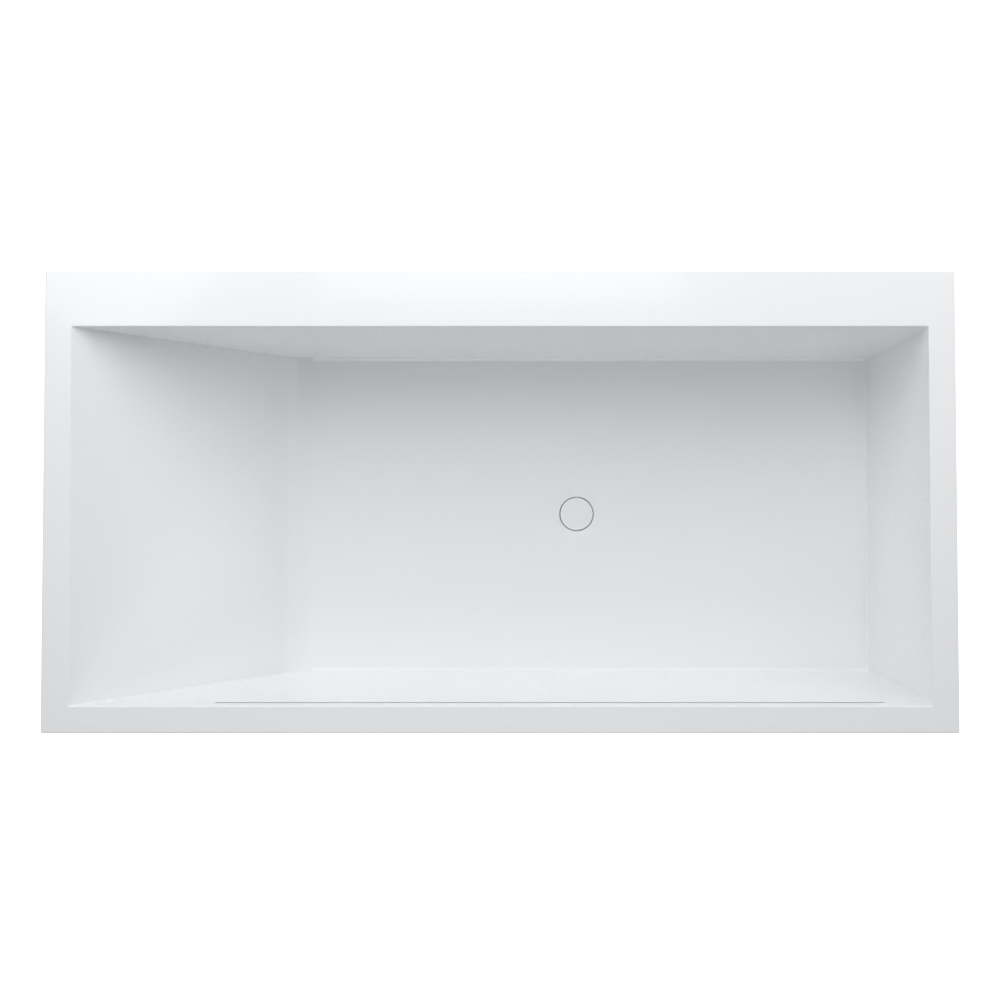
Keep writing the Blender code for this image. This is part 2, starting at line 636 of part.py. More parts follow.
def build_cross_bar(name, x, paint, rubber, zinc):
    half = BAR_SIZE / 2
    ends = BAR_LENGTH / 2
    bar = block(f"cross_bar_{name}", (x - half, -ends, BAR_BOTTOM), (x + half, ends, BAR_TOP), paint)
    inner = half - BAR_WALL
    inside_low = (x - inner, -ends - CUT_OVER, BAR_BOTTOM + BAR_WALL)
    inside_high = (x + inner, ends + CUT_OVER, BAR_TOP - BAR_WALL)
    cut(bar, block(f"bar_{name}_inside", inside_low, inside_high))
    pad_low = (x - half + BAR_PAD_MARGIN, -ends + BAR_PAD_MARGIN, BAR_TOP + GAP)
    pad_high = (x + half - BAR_PAD_MARGIN, ends - BAR_PAD_MARGIN, BAR_TOP + GAP + BAR_PAD)
    block(f"bar_pad_{name}", pad_low, pad_high, rubber)
    for side, sign in (("front", -1), ("back", 1)):
        at = (x, sign * RAIL_SPREAD / 2, 0)
        weld_top = BAR_BOTTOM + BAR_WALL + WELD_NUT_HEIGHT
        weld = rod_mesh("weld_nut", WELD_NUT_RADIUS, weld_top, BAR_BOTTOM + BAR_WALL / 2, SMALL_STEPS)
        join(bar, place(f"weld_nut_{name}_{side}", weld, origin=at))
        ends_of_bore = (weld_top + CUT_OVER, BAR_BOTTOM - CUT_OVER)
        bore = rod_mesh("weld_bore", BOLT_RADIUS + GAP, *ends_of_bore, SMALL_STEPS)
        cut(bar, place(f"weld_bore_{name}_{side}", bore, origin=at))
        head_top = RAIL_TOP - RAIL_WALL - GAP
        head = hex_mesh("bar_bolt", BOLT_FLATS, head_top, head_top - BOLT_HEAD)
        bolt = place(f"bar_bolt_{name}_{side}", head, zinc, origin=at)
        shank = rod_mesh("bolt_shank", BOLT_RADIUS, weld_top, head_top - BOLT_HEAD / 2, SMALL_STEPS)
        join(bolt, place(f"bolt_shank_{name}_{side}", shank, origin=at))


def build_feet(rubber, zinc):
    nut_top = boss_end() - GAP
    nut_under = nut_top - NUT_HEIGHT
    drive_top = nut_under - GAP
    ball = STUD_RADIUS + BALL_OVER
    socket = ball + BALL_FIT
    floor_of_socket = PAD_HEIGHT * PAD_SOCKET
    pad_outline = [
        (0, floor_of_socket), (socket, floor_of_socket), (socket, PAD_HEIGHT),
        (PAD_RADIUS * 0.55, PAD_HEIGHT), (PAD_RADIUS * 0.93, PAD_HEIGHT * 0.5),
        (PAD_RADIUS, PAD_HEIGHT * 0.3), (PAD_RADIUS, 0), (0, 0),
    ]
    pad = turned_mesh("foot_pad", pad_outline, 24, ring=False)
    stud_top = RAIL_TOP + STUD_OVER
    neck = STUD_RADIUS * STUD_NECK
    ball_under = floor_of_socket + GAP
    stud_outline = [
        (0, stud_top), (STUD_RADIUS - STUD_CHAMFER, stud_top), (STUD_RADIUS, stud_top - STUD_CHAMFER),
        (STUD_RADIUS, PAD_HEIGHT + 2 * NECK_HEIGHT), (neck, PAD_HEIGHT + NECK_HEIGHT), (neck, PAD_HEIGHT),
        (ball, PAD_HEIGHT - BALL_CHAMFER), (ball, ball_under + BALL_CHAMFER), (ball / 2, ball_under),
        (0, ball_under),
    ]
    stud = turned_mesh("foot_stud", stud_outline, 16, ring=False)
    drive = hex_mesh("stud_drive", DRIVE_FLATS, drive_top, drive_top - NUT_HEIGHT)
    nut = hex_mesh("foot_nut", NUT_FLATS, nut_top, nut_under)
    bore = rod_mesh("nut_bore", STUD_RADIUS + GAP, nut_top + CUT_OVER, nut_under - CUT_OVER)
    for end, x in (("head", -LENGTH / 2 + FOOT_INSET), ("foot", LENGTH / 2 - FOOT_INSET)):
        for side, sign in (("front", -1), ("back", 1)):
            corner = f"{end}_{side}"
            axis = marker(f"foot_axis_{corner}", (x, sign * RAIL_SPREAD / 2, 0))
            place(f"foot_pad_{corner}", pad, rubber, axis)
            made = place(f"foot_stud_{corner}", stud, zinc, axis)
            join(made, place(f"stud_drive_{corner}", drive, parent=axis))
            lock = place(f"foot_nut_{corner}", nut, zinc, axis)
            cut(lock, place(f"nut_bore_{corner}", bore, parent=axis))


def build_waste(white, chrome, rubber, plastic, steel):
    axis = marker("waste_axis", DRAIN)
    plug = marker("plug_axis", DRAIN)
    flange = [
        (POCKET_RADIUS - COVER_RING / 2, FLANGE_TOP), (POCKET_RADIUS - COVER_RING / 2, FLANGE_UNDER),
        (WASTE_RADIUS, FLANGE_UNDER), (WASTE_RADIUS, TUBE_END), (WASTE_BORE, TUBE_END),
        (WASTE_BORE, FLANGE_TOP),
    ]
    place("waste_flange", turned_mesh("waste_flange", flange), chrome, axis)
    seal = ring_outline(POCKET_RADIUS - COVER_RING, WASTE_HOLE, FLANGE_UNDER - GAP, POCKET_FLOOR + GAP)
    place("flange_gasket", turned_mesh("flange_gasket", seal), rubber, axis)
    lower = ring_outline(BODY_PLATE_RADIUS, WASTE_HOLE, DRAIN_BOSS - GAP, BODY_TOP + GAP)
    place("body_gasket", turned_mesh("body_gasket", lower), rubber, axis)

    chamber = WASTE_RADIUS + GAP + BODY_WALL
    outside = [
        (0, BODY_TOP), (BODY_PLATE_RADIUS, BODY_TOP), (BODY_PLATE_RADIUS, BODY_TOP - BODY_PLATE),
        (chamber, BODY_TOP - BODY_PLATE), (chamber, CHAMBER), (TAIL_RADIUS, CHAMBER),
        (TAIL_RADIUS, TAIL_END), (0, TAIL_END),
    ]
    body = place("waste_body", turned_mesh("waste_body", outside, ring=False), plastic, axis)
    sideways = Matrix.Rotation(math.radians(90), 4, "X")
    port = place("waste_port", rod_mesh("waste_port", PORT_RADIUS, PORT_END, WASTE_RADIUS), parent=axis)
    port.matrix_local = Matrix.Translation((0, 0, PORT_LEVEL)) @ sideways
    join(body, port)
    thread, room, tail = WASTE_RADIUS + GAP, WASTE_RADIUS - WASTE_STEP, TAIL_RADIUS - TAIL_WALL
    bore = [
        (0, BODY_TOP + CUT_OVER), (thread, BODY_TOP + CUT_OVER), (thread, TUBE_END - GAP),
        (room, TUBE_END - GAP), (room, CHAMBER + TAIL_WALL), (tail, CHAMBER + TAIL_WALL),
        (tail, TAIL_END - CUT_OVER), (0, TAIL_END - CUT_OVER),
    ]
    cut(body, place("waste_bore", turned_mesh("waste_bore", bore, ring=False), parent=axis))
    port_bore = rod_mesh("port_bore", PORT_BORE, PORT_END + CUT_OVER, WASTE_RADIUS / 2)
    hole = place("port_bore", port_bore, parent=axis)
    hole.matrix_local = port.matrix_local.copy()
    cut(body, hole)

    cover = [
        (0, COVER_TOP), (COVER_RADIUS - COVER_EDGE, COVER_TOP), (COVER_RADIUS, COVER_TOP - COVER_EDGE),
        (COVER_RADIUS, COVER_UNDER), (0, COVER_UNDER),
    ]
    place("plug_cover", turned_mesh("plug_cover", cover, 40, ring=False), white, plug)
    inner = WASTE_BORE + SEAL_FROM_BORE
    ring = ring_outline(inner + SEAL_WIDTH, inner, COVER_UNDER - GAP, FLANGE_TOP + GAP)
    place("plug_seal", turned_mesh("plug_seal", ring), rubber, plug)
    hub_under = TUBE_END + GUIDE_UP
    hub_top = hub_under + GUIDE_HEIGHT
    head = GUIDE_HUB + STEM_HEAD_OVER
    head_under = COVER_UNDER - GAP - STEM_HEAD
    collar = STEM_RADIUS + STEM_COLLAR
    collar_top = hub_under - PLUG_TRAVEL - PLUG_STOP
    stem = [
        (0, COVER_UNDER - GAP), (head, COVER_UNDER - GAP), (head, head_under), (STEM_RADIUS, head_under),
        (STEM_RADIUS, collar_top), (collar, collar_top), (collar, collar_top - STEM_COLLAR_HEIGHT),
        (0, collar_top - STEM_COLLAR_HEIGHT),
    ]
    place("plug_stem", turned_mesh("plug_stem", stem, 16, ring=False), chrome, plug)

    hub = rod_mesh("plug_guide", GUIDE_HUB, hub_top, hub_under)
    guide = place("plug_guide", hub, plastic, axis)
    reach = WASTE_BORE - GAP
    for number in range(2):
        arm_low = (-reach, -GUIDE_ARM / 2, hub_under)
        arm_high = (reach, GUIDE_ARM / 2, hub_under + GUIDE_HEIGHT * GUIDE_ARM_HEIGHT)
        arm = place(f"guide_arm_{number}", block_mesh("guide_arm", arm_low, arm_high), parent=axis)
        arm.rotation_euler.z = math.radians(45 + 90 * number)
        join(guide, arm)
    bore = rod_mesh("guide_bore", STEM_RADIUS + STEM_FIT, hub_top + CUT_OVER, hub_under - CUT_OVER)
    cut(guide, place("guide_bore", bore, parent=axis))

    low = hub_top + GAP + SPRING_WIRE
    high = head_under - GAP - SPRING_WIRE
    count = SPRING_TURNS * SPRING_STEPS
    coil = []
    for step in range(count + 1):
        turn = math.tau * step / SPRING_STEPS
        level = low + (high - low) * step / count
        coil.append((SPRING_RADIUS * math.cos(turn), SPRING_RADIUS * math.sin(turn), level))
    place("plug_spring", tube_mesh("plug_spring", coil, SPRING_WIRE, resolution=1), steel, axis)


def build_trap(plastic, rubber, pipe_look):
    axis = marker("trap_axis", DRAIN)
    tail = TAIL_RADIUS + GAP
    flange_top = TAIL_END - WASHER - 2 * GAP
    flange_under = flange_top - TRAP_COLLAR
    lip_top = flange_under - GAP
    lip_under = lip_top - TRAP_COLLAR
    nut_top = CHAMBER - NUT_CLEAR
    nut = [
        (tail + NUT_WALL, nut_top), (tail + NUT_WALL, lip_under), (INLET_RADIUS + GAP, lip_under),
        (INLET_RADIUS + GAP, lip_top), (tail, lip_top), (tail, nut_top),
    ]
    place("trap_nut", turned_mesh("trap_nut", nut), plastic, axis)
    bore = INLET_RADIUS - INLET_WALL
    washer = ring_outline(TAIL_RADIUS - GAP, bore + GAP, TAIL_END - GAP, flange_top + GAP)
    place("trap_washer", turned_mesh("trap_washer", washer), rubber, axis)

    pot_bore = TRAP_RADIUS - TRAP_WALL
    screw_ring = pot_bore - GAP
    ring_end = OUTLET_LEVEL + SOCKET_BORE + GAP * 2
    dip_end = POT_BOTTOM + TRAP_WALL + INLET_DIP
    lid = [
        (TAIL_RADIUS - GAP, flange_top), (TAIL_RADIUS - GAP, flange_under), (INLET_RADIUS, flange_under),
        (INLET_RADIUS, LID_TOP), (TRAP_RADIUS + TRAP_COLLAR, LID_TOP),
        (TRAP_RADIUS + TRAP_COLLAR, LID_UNDER), (screw_ring, LID_UNDER), (screw_ring, ring_end),
        (screw_ring - LID_RING, ring_end), (screw_ring - LID_RING, LID_UNDER), (INLET_RADIUS, LID_UNDER),
        (INLET_RADIUS, dip_end), (bore, dip_end), (bore, flange_top),
    ]
    place("trap_lid", turned_mesh("trap_lid", lid), plastic, axis)
    gasket = ring_outline(TRAP_RADIUS + TRAP_COLLAR / 2, pot_bore, LID_UNDER - GAP, POT_TOP + GAP)
    place("trap_gasket", turned_mesh("trap_gasket", gasket), rubber, axis)

    outside = [
        (0, POT_TOP), (TRAP_RADIUS + TRAP_COLLAR, POT_TOP),
        (TRAP_RADIUS + TRAP_COLLAR, POT_TOP - TRAP_COLLAR), (TRAP_RADIUS, POT_TOP - TRAP_COLLAR),
        (TRAP_RADIUS, POT_BOTTOM + TRAP_CHAMFER), (TRAP_RADIUS - TRAP_CHAMFER, POT_BOTTOM),
        (0, POT_BOTTOM),
    ]
    pot = place("trap_pot", turned_mesh("trap_pot", outside, ring=False), plastic, axis)
    along_x = Matrix.Translation((0, 0, OUTLET_LEVEL)) @ Matrix.Rotation(math.radians(90), 4, "Y")
    socket = place("pot_socket", rod_mesh("pot_socket", SOCKET_RADIUS, SOCKET_END, pot_bore), parent=axis)
    socket.matrix_local = along_x
    join(pot, socket)
    inside = rod_mesh("pot_inside", pot_bore, POT_TOP + CUT_OVER, POT_BOTTOM + TRAP_WALL, 24)
    cut(pot, place("pot_inside", inside, parent=axis))
    outlet = rod_mesh("pot_outlet", SOCKET_BORE, SOCKET_END + CUT_OVER, pot_bore - 3 * CUT_OVER)
    tool = place("pot_outlet", outlet, parent=axis)
    tool.matrix_local = along_x
    cut(pot, tool)

    ring = ring_outline(SOCKET_RADIUS - GAP, SOCKET_BORE, SOCKET_END + GAP + WASHER, SOCKET_END + GAP)
    seal = place("outlet_washer", turned_mesh("outlet_washer", ring), rubber, axis)
    seal.matrix_local = along_x
    lip = SOCKET_END + 2 * GAP + WASHER
    nut_bore = SOCKET_RADIUS + GAP
    grip = SOCKET_END - OUTLET_NUT_GRIP
    outside_nut = nut_bore + NUT_WALL * OUTLET_NUT_WALL
    outline = [
        (outside_nut, lip + TRAP_COLLAR), (outside_nut, grip), (nut_bore, grip), (nut_bore, lip),
        (SOCKET_BORE, lip), (SOCKET_BORE, lip + TRAP_COLLAR),
    ]
    clamp = place("outlet_nut", turned_mesh("outlet_nut", outline), plastic, axis)
    clamp.matrix_local = along_x

    turn = DRAIN.x + OUTLET_RUN
    corners = [
        (DRAIN.x + SOCKET_END - OUTLET_INSERT, DRAIN.y, OUTLET_LEVEL), (turn, DRAIN.y, OUTLET_LEVEL),
        (turn, DRAIN.y, OUTLET_END),
    ]
    mesh = tube_mesh("outlet_pipe", arc_route(corners, OUTLET_BEND), OUTLET_RADIUS, OUTLET_WALL, 4)
    thicken(place("outlet_pipe", mesh, pipe_look), OUTLET_WALL)


def build():
    clear_scene()
    stone = material("cast_stone_white", (0.86, 0.87, 0.885), 0.35)
    frame_paint = material("frame_powder_grey", (0.30, 0.31, 0.33), 0.55)
    zinc = material("zinc_plate", (0.62, 0.63, 0.65), 0.35, 0.9)
    chrome = material("waste_chrome", (0.78, 0.78, 0.80), 0.15, 1.0)
    steel = material("spring_steel", (0.60, 0.60, 0.61), 0.3, 1.0)
    rubber = material("rubber_black", (0.03, 0.03, 0.032), 0.8)
    plastic = material("trap_plastic_white", (0.80, 0.80, 0.79), 0.4)
    hose = material("hose_grey", (0.45, 0.46, 0.48), 0.5)
    cover = material("plug_cover_white", (0.86, 0.87, 0.885), 0.3)
    build_basin(stone)
    build_skirt(stone)
    build_overflow(plastic, rubber, hose, steel)
    build_frame(frame_paint, rubber, zinc)
    build_feet(rubber, zinc)
    build_waste(cover, chrome, rubber, plastic, steel)
    build_trap(plastic, rubber, hose)


build()
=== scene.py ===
import math

import bmesh
import bpy
from mathutils import Matrix, Vector


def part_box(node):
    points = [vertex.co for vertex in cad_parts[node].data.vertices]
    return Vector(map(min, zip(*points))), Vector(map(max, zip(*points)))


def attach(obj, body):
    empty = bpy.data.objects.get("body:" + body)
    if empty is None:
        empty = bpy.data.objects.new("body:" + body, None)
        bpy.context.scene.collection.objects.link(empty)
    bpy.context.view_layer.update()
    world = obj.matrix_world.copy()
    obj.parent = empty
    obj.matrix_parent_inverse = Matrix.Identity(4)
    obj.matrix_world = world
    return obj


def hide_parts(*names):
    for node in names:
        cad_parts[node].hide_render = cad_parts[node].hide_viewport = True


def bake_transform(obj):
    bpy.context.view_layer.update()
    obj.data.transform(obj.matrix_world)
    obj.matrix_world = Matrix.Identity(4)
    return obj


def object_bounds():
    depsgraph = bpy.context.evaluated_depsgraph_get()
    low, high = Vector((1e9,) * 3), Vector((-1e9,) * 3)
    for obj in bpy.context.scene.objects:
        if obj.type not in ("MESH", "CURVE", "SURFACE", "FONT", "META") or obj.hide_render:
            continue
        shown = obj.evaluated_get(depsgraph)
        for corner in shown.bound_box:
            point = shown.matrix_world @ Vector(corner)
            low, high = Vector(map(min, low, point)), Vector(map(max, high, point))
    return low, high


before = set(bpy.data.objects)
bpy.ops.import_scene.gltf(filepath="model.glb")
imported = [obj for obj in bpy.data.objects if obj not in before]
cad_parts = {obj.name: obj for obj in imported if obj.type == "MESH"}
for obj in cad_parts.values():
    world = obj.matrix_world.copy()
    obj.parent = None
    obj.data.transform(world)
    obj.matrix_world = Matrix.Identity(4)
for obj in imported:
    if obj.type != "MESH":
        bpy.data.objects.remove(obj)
cadBox = [list(corner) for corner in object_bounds()]
scene = bpy.context.scene
rootBody = "frame_and_basin"
print("frame loaded with", len(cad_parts), "nodes")


def centreOf(node):
    low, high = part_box(node)
    return (low + high) / 2


drainAt = centreOf("plug_cover")


def onDrain(z):
    return (drainAt.x, drainAt.y, z)


drainPlace = onDrain(0)
nearness = {"sliver": 3e-6, "axis": 1e-6, "lathe": 5e-6, "ring": 1e-7, "solid": 2e-6, "plane": 1e-5}


def meshObject(name, mesh):
    piece = bpy.data.objects.new(name, mesh)
    scene.collection.objects.link(piece)
    return piece


def fromBmesh(name, bm):
    mesh = bpy.data.meshes.new(name)
    bm.to_mesh(mesh)
    bm.free()
    return meshObject(name, mesh)


def applyAll(piece):
    # modifiers go into the mesh, so the piece is plain before it rides
    bpy.context.view_layer.update()
    evaluated = piece.evaluated_get(bpy.context.evaluated_depsgraph_get())
    mesh = bpy.data.meshes.new_from_object(evaluated)
    piece.modifiers.clear()
    piece.data = mesh
    mesh.name = piece.name
    return piece


def combine(piece, tool, operation="DIFFERENCE"):
    change = piece.modifiers.new(tool.name, "BOOLEAN")
    change.object = tool
    change.operation = operation
    change.solver = "EXACT"
    applyAll(piece)
    bpy.data.objects.remove(tool, do_unlink=True)
    return weldPiece(piece)


def weldPiece(piece):
    # takes out the slivers that a Boolean leaves
    bm = bmesh.new()
    bm.from_mesh(piece.data)
    bmesh.ops.remove_doubles(bm, verts=bm.verts, dist=nearness["sliver"])
    bmesh.ops.dissolve_degenerate(bm, edges=bm.edges, dist=nearness["sliver"])
    bm.to_mesh(piece.data)
    bm.free()
    return piece


def bevelEdges(bm, chosen, width, steps):
    bmesh.ops.bevel(bm, geom=chosen, offset=width, segments=steps, profile=0.5, affect="EDGES",
                    clamp_overlap=True)


def hopper(top, bottom, zTop, zBottom):
    # a box whose top and bottom are (x low, x high, y low, y high)
    bm = bmesh.new()
    bmesh.ops.create_cube(bm, size=2)
    for vert in bm.verts:
        xLow, xHigh, yLow, yHigh = top if vert.co.z > 0 else bottom
        vert.co = (xHigh if vert.co.x > 0 else xLow, yHigh if vert.co.y > 0 else yLow,
                   zTop if vert.co.z > 0 else zBottom)
    return bm


def edgeRuns(edge, axis):
    a, b = (vert.co for vert in edge.verts)
    return all(abs(a[other] - b[other]) < nearness["axis"] for other in range(3) if other != axis)


def middle(edge):
    return (edge.verts[0].co + edge.verts[1].co) / 2


def lathe(name, outline, steps=64, closed=True, centre=(0, 0, 0)):
    # (radius, z) points, down the outer side and back up the bore
    bm = bmesh.new()
    points = list(outline) + ([outline[0]] if closed else [])
    verts = [bm.verts.new((radius, 0, z)) for radius, z in points]
    edges = [bm.edges.new(pair) for pair in zip(verts, verts[1:])]
    bmesh.ops.spin(bm, geom=verts + edges, cent=(0, 0, 0), axis=(0, 0, 1), angle=math.tau,
                   steps=steps, use_merge=True)
    bmesh.ops.remove_doubles(bm, verts=bm.verts, dist=nearness["lathe"])
    bmesh.ops.recalc_face_normals(bm, faces=bm.faces)
    bmesh.ops.translate(bm, verts=bm.verts, vec=centre)
    return fromBmesh(name, bm)


def roundedOutline(corners, radius, steps=4):
    # a closed (radius, z) outline with every corner rounded a little
    rounded = []
    count = len(corners)
    for index, corner in enumerate(corners):
        before = Vector(corners[index - 1]) - Vector(corner)
        after = Vector(corners[(index + 1) % count]) - Vector(corner)
        reach = min(radius, before.length * 0.45, after.length * 0.45)
        start = Vector(corner) + before.normalized() * reach
        end = Vector(corner) + after.normalized() * reach
        for step in range(steps + 1):
            share = step / steps
            low = start.lerp(Vector(corner), share)
            high = Vector(corner).lerp(end, share)
            rounded.append(tuple(low.lerp(high, share)))
    return rounded


def openOutline(corners, radius, steps):
    # the same, but the first and last corners are on the axis and stay as they are
    return corners[:1] + roundedOutline(corners, radius, steps)[steps + 1:-steps - 1] + corners[-1:]


def rod(name, radius, zHigh, zLow, steps, centre=(0, 0, 0)):
    return lathe(name, [(0, zHigh), (radius, zHigh), (radius, zLow), (0, zLow)], steps, False, centre)


def smoothPiece(piece, angle=35.0, weighted=False):
    piece.data.shade_smooth()
    piece.data.set_sharp_from_angle(angle=math.radians(angle))
    if weighted:
        even = piece.modifiers.new("Even normals", "WEIGHTED_NORMAL")
        even.keep_sharp = True
        even.weight = 80
        applyAll(piece)
    return piece


def finishPiece(piece, material, body, slotName, *nodes):
    piece.data.materials.clear()
    piece.data.materials.append(material)
    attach(piece, body)
    if nodes:
        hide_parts(*nodes)
    return piece


def addNoise(tree, scale, detail, stretch):
    # noise in the piece's own metres
    place = tree.nodes.new("ShaderNodeTexCoord")
    mapping = tree.nodes.new("ShaderNodeMapping")
    mapping.inputs["Scale"].default_value = (1, 1, stretch)
    noise = tree.nodes.new("ShaderNodeTexNoise")
    noise.inputs["Scale"].default_value = scale
    noise.inputs["Detail"].default_value = detail
    tree.links.new(place.outputs["Object"], mapping.inputs["Vector"])
    tree.links.new(mapping.outputs["Vector"], noise.inputs["Vector"])
    return noise.outputs["Fac"]


def addRamp(tree, source, low, high, start=0.35, end=0.65):
    ramp = tree.nodes.new("ShaderNodeValToRGB")
    ramp.color_ramp.elements[0].position = start
    ramp.color_ramp.elements[0].color = (*low, 1)
    ramp.color_ramp.elements[1].position = end
    ramp.color_ramp.elements[1].color = (*high, 1)
    tree.links.new(source, ramp.inputs["Fac"])
    return ramp.outputs["Color"]


def addRange(tree, source, low, high, start=0.3, end=0.7):
    span = tree.nodes.new("ShaderNodeMapRange")
    span.inputs["From Min"].default_value = start
    span.inputs["From Max"].default_value = end
    span.inputs["To Min"].default_value = low
    span.inputs["To Max"].default_value = high
    tree.links.new(source, span.inputs["Value"])
    return span.outputs["Result"]


def addBump(tree, shader, source, strength, distance):
    bump = tree.nodes.new("ShaderNodeBump")
    bump.inputs["Strength"].default_value = strength
    bump.inputs["Distance"].default_value = distance
    tree.links.new(source, bump.inputs["Height"])
    tree.links.new(bump.outputs["Normal"], shader.inputs["Normal"])


metal = {"Metallic": 1.0}
finishes = {  # noise is (scale per metre, detail, stretch upwards), bump is (strength, distance)
    "castStoneWhite": {  # a slow drift of tone across the casting, and a fine mineral grain
        "colours": ((0.960, 0.962, 0.965), (0.966, 0.968, 0.970)), "tone": (2.2, 2, 1),
        "grain": (900.0, 3, 1), "roughness": (0.24, 0.30), "bump": (0.02, 0.0002),
        "even": {"IOR": 1.50, "Coat Weight": 0.35, "Coat Roughness": 0.08}},
    "wasteChrome": {
        "colours": ((0.704, 0.7128, 0.7216), (0.80, 0.81, 0.82)), "tone": (300.0, 4, 1),
        "grain": (300.0, 4, 1), "roughness": (0.05, 0.11), "bump": (0.04, 0.0001), "even": metal},
    "clipSteel": {  # stretched noise, as rolled strip has
        "colours": ((0.528, 0.528, 0.5368), (0.60, 0.60, 0.61)), "tone": (700.0, 4, 0.08),
        "grain": (700.0, 4, 0.08), "roughness": (0.22, 0.36), "bump": (0.04, 0.0001), "even": metal},
    "zincPlate": {
        "colours": ((0.5808, 0.5896, 0.5984), (0.66, 0.67, 0.68)), "tone": (180.0, 4, 1),
        "grain": (180.0, 4, 1), "roughness": (0.24, 0.42), "bump": (0.04, 0.0001), "even": metal},
    "framePaint": {  # with the orange peel of powder coat
        "colours": ((0.23, 0.24, 0.26), (0.255, 0.265, 0.285)), "tone": (40.0, 3, 1),
        "grain": (1400.0, 2, 1), "roughness": (0.48, 0.62), "bump": (0.25, 0.0003), "even": {}},
    "rubberBlack": {  # with the grey bloom that rubber gets
        "colours": ((0.020, 0.020, 0.021), (0.045, 0.045, 0.046)), "tone": (60.0, 5, 1),
        "grain": (900.0, 2, 1), "roughness": (0.68, 0.86), "bump": (0.2, 0.0002), "even": {}},
    "mouldedPlastic": {  # faint flow marks, and the fine texture of the mould
        "colours": ((0.72, 0.72, 0.71), (0.78, 0.78, 0.77)), "tone": (25.0, 3, 0.3),
        "grain": (2200.0, 2, 1), "roughness": (0.32, 0.44), "bump": (0.12, 0.0002), "even": {}},
    "hoseGrey": {
        "colours": ((0.36, 0.37, 0.39), (0.42, 0.43, 0.45)), "tone": (25.0, 3, 0.3),
        "grain": (2200.0, 2, 1), "roughness": (0.40, 0.55), "bump": (0.12, 0.0002), "even": {}},
}


def newMaterial(name, colour, roughness):
    material = bpy.data.materials.new(name)
    material.use_nodes = True
    shader = material.node_tree.nodes["Principled BSDF"]
    shader.inputs["Base Color"].default_value = (*colour, 1)
    shader.inputs["Roughness"].default_value = roughness
    return material, material.node_tree, shader


def makeFinish(name):
    # noise varies the tone, and a finer grain the roughness and the bump
    values = finishes[name]
    material, tree, shader = newMaterial(name, values["colours"][1], values["roughness"][0])
    tone = addRamp(tree, addNoise(tree, *values["tone"]), *values["colours"])
    tree.links.new(tone, shader.inputs["Base Color"])
    grain = addNoise(tree, *values["grain"])
    tree.links.new(addRange(tree, grain, *values["roughness"]), shader.inputs["Roughness"])
    addBump(tree, shader, grain, *values["bump"])
    for socket, value in values["even"].items():
        shader.inputs[socket].default_value = value
    return material


(stoneMaterial, chromeMaterial, steelMaterial, zincMaterial, paintMaterial, rubberMaterial, plasticMaterial,
 hoseMaterial) = (makeFinish(name) for name in finishes)
print("finishes made:", len(finishes))


basinSizes = {
    "rim": 0.050,
    "deck": 0.105,
    "rimThickness": 0.012,
    "outerRound": 0.0030,
    "innerRound": 0.0022,
    "depth": 0.420,
    "draft": 0.020,
    "backrestAngle": 49.0,
    "backrestBlend": 0.078,
    "blendSteps": 28,
    "cove": 0.008,
    "coveSteps": 6,
    "coveProfile": 0.40,  # below a half, so the cove meets the floor with a crisp line
    "cornerRound": 0.0022,
    "wall": 0.012,
    "floorThickness": 0.014,
    "bossDepth": 0.004,
    "slotFromHead": 0.264,
    "slotFromFoot": 0.078,
    "slotDrop": 0.038,
    "slotHeight": 0.009,
    "slotEnds": 0.995,  # how nearly the slot's ends are half round
    "slotLip": 0.0005,
    "slotFall": 50.0,  # degrees below level
    "slotPast": 0.003,
    "dishRadius": 0.075,
    "dishDepth": 0.005,
    "coverRing": 0.002,
    "pocketRound": 0.0008,
    "pocketRoom": 0.0003,
    "holeRadius": 0.0262,
    "sharpAngle": 28,
    "past": 0.01,  # how far a cutter goes past what it cuts
}


def wellShape(low, high):
    # where the basin's inner faces start at the rim, and how they lean
    sizes = basinSizes
    return {
        "rimTop": high.z,
        "floor": high.z - sizes["depth"],
        "head": low.x + sizes["rim"],
        "foot": high.x - sizes["rim"],
        "front": low.y + sizes["rim"],
        "back": high.y - sizes["deck"],
        "slope": math.radians(sizes["backrestAngle"]),
        "lean": math.atan(sizes["draft"] / sizes["depth"]),
    }


def wellSides(well, z, offset=0.0):
    # the inner faces at any level: x low, x high, y low, y high
    sizes = basinSizes
    down = (well["rimTop"] - z) / sizes["depth"]
    square = offset / math.cos(well["lean"])
    run = sizes["depth"] / math.tan(well["slope"])
    draft = sizes["draft"] * down
    return (well["head"] + run * down - offset / math.sin(well["slope"]), well["foot"] - draft + square,
            well["front"] + draft - square, well["back"] - draft + square)


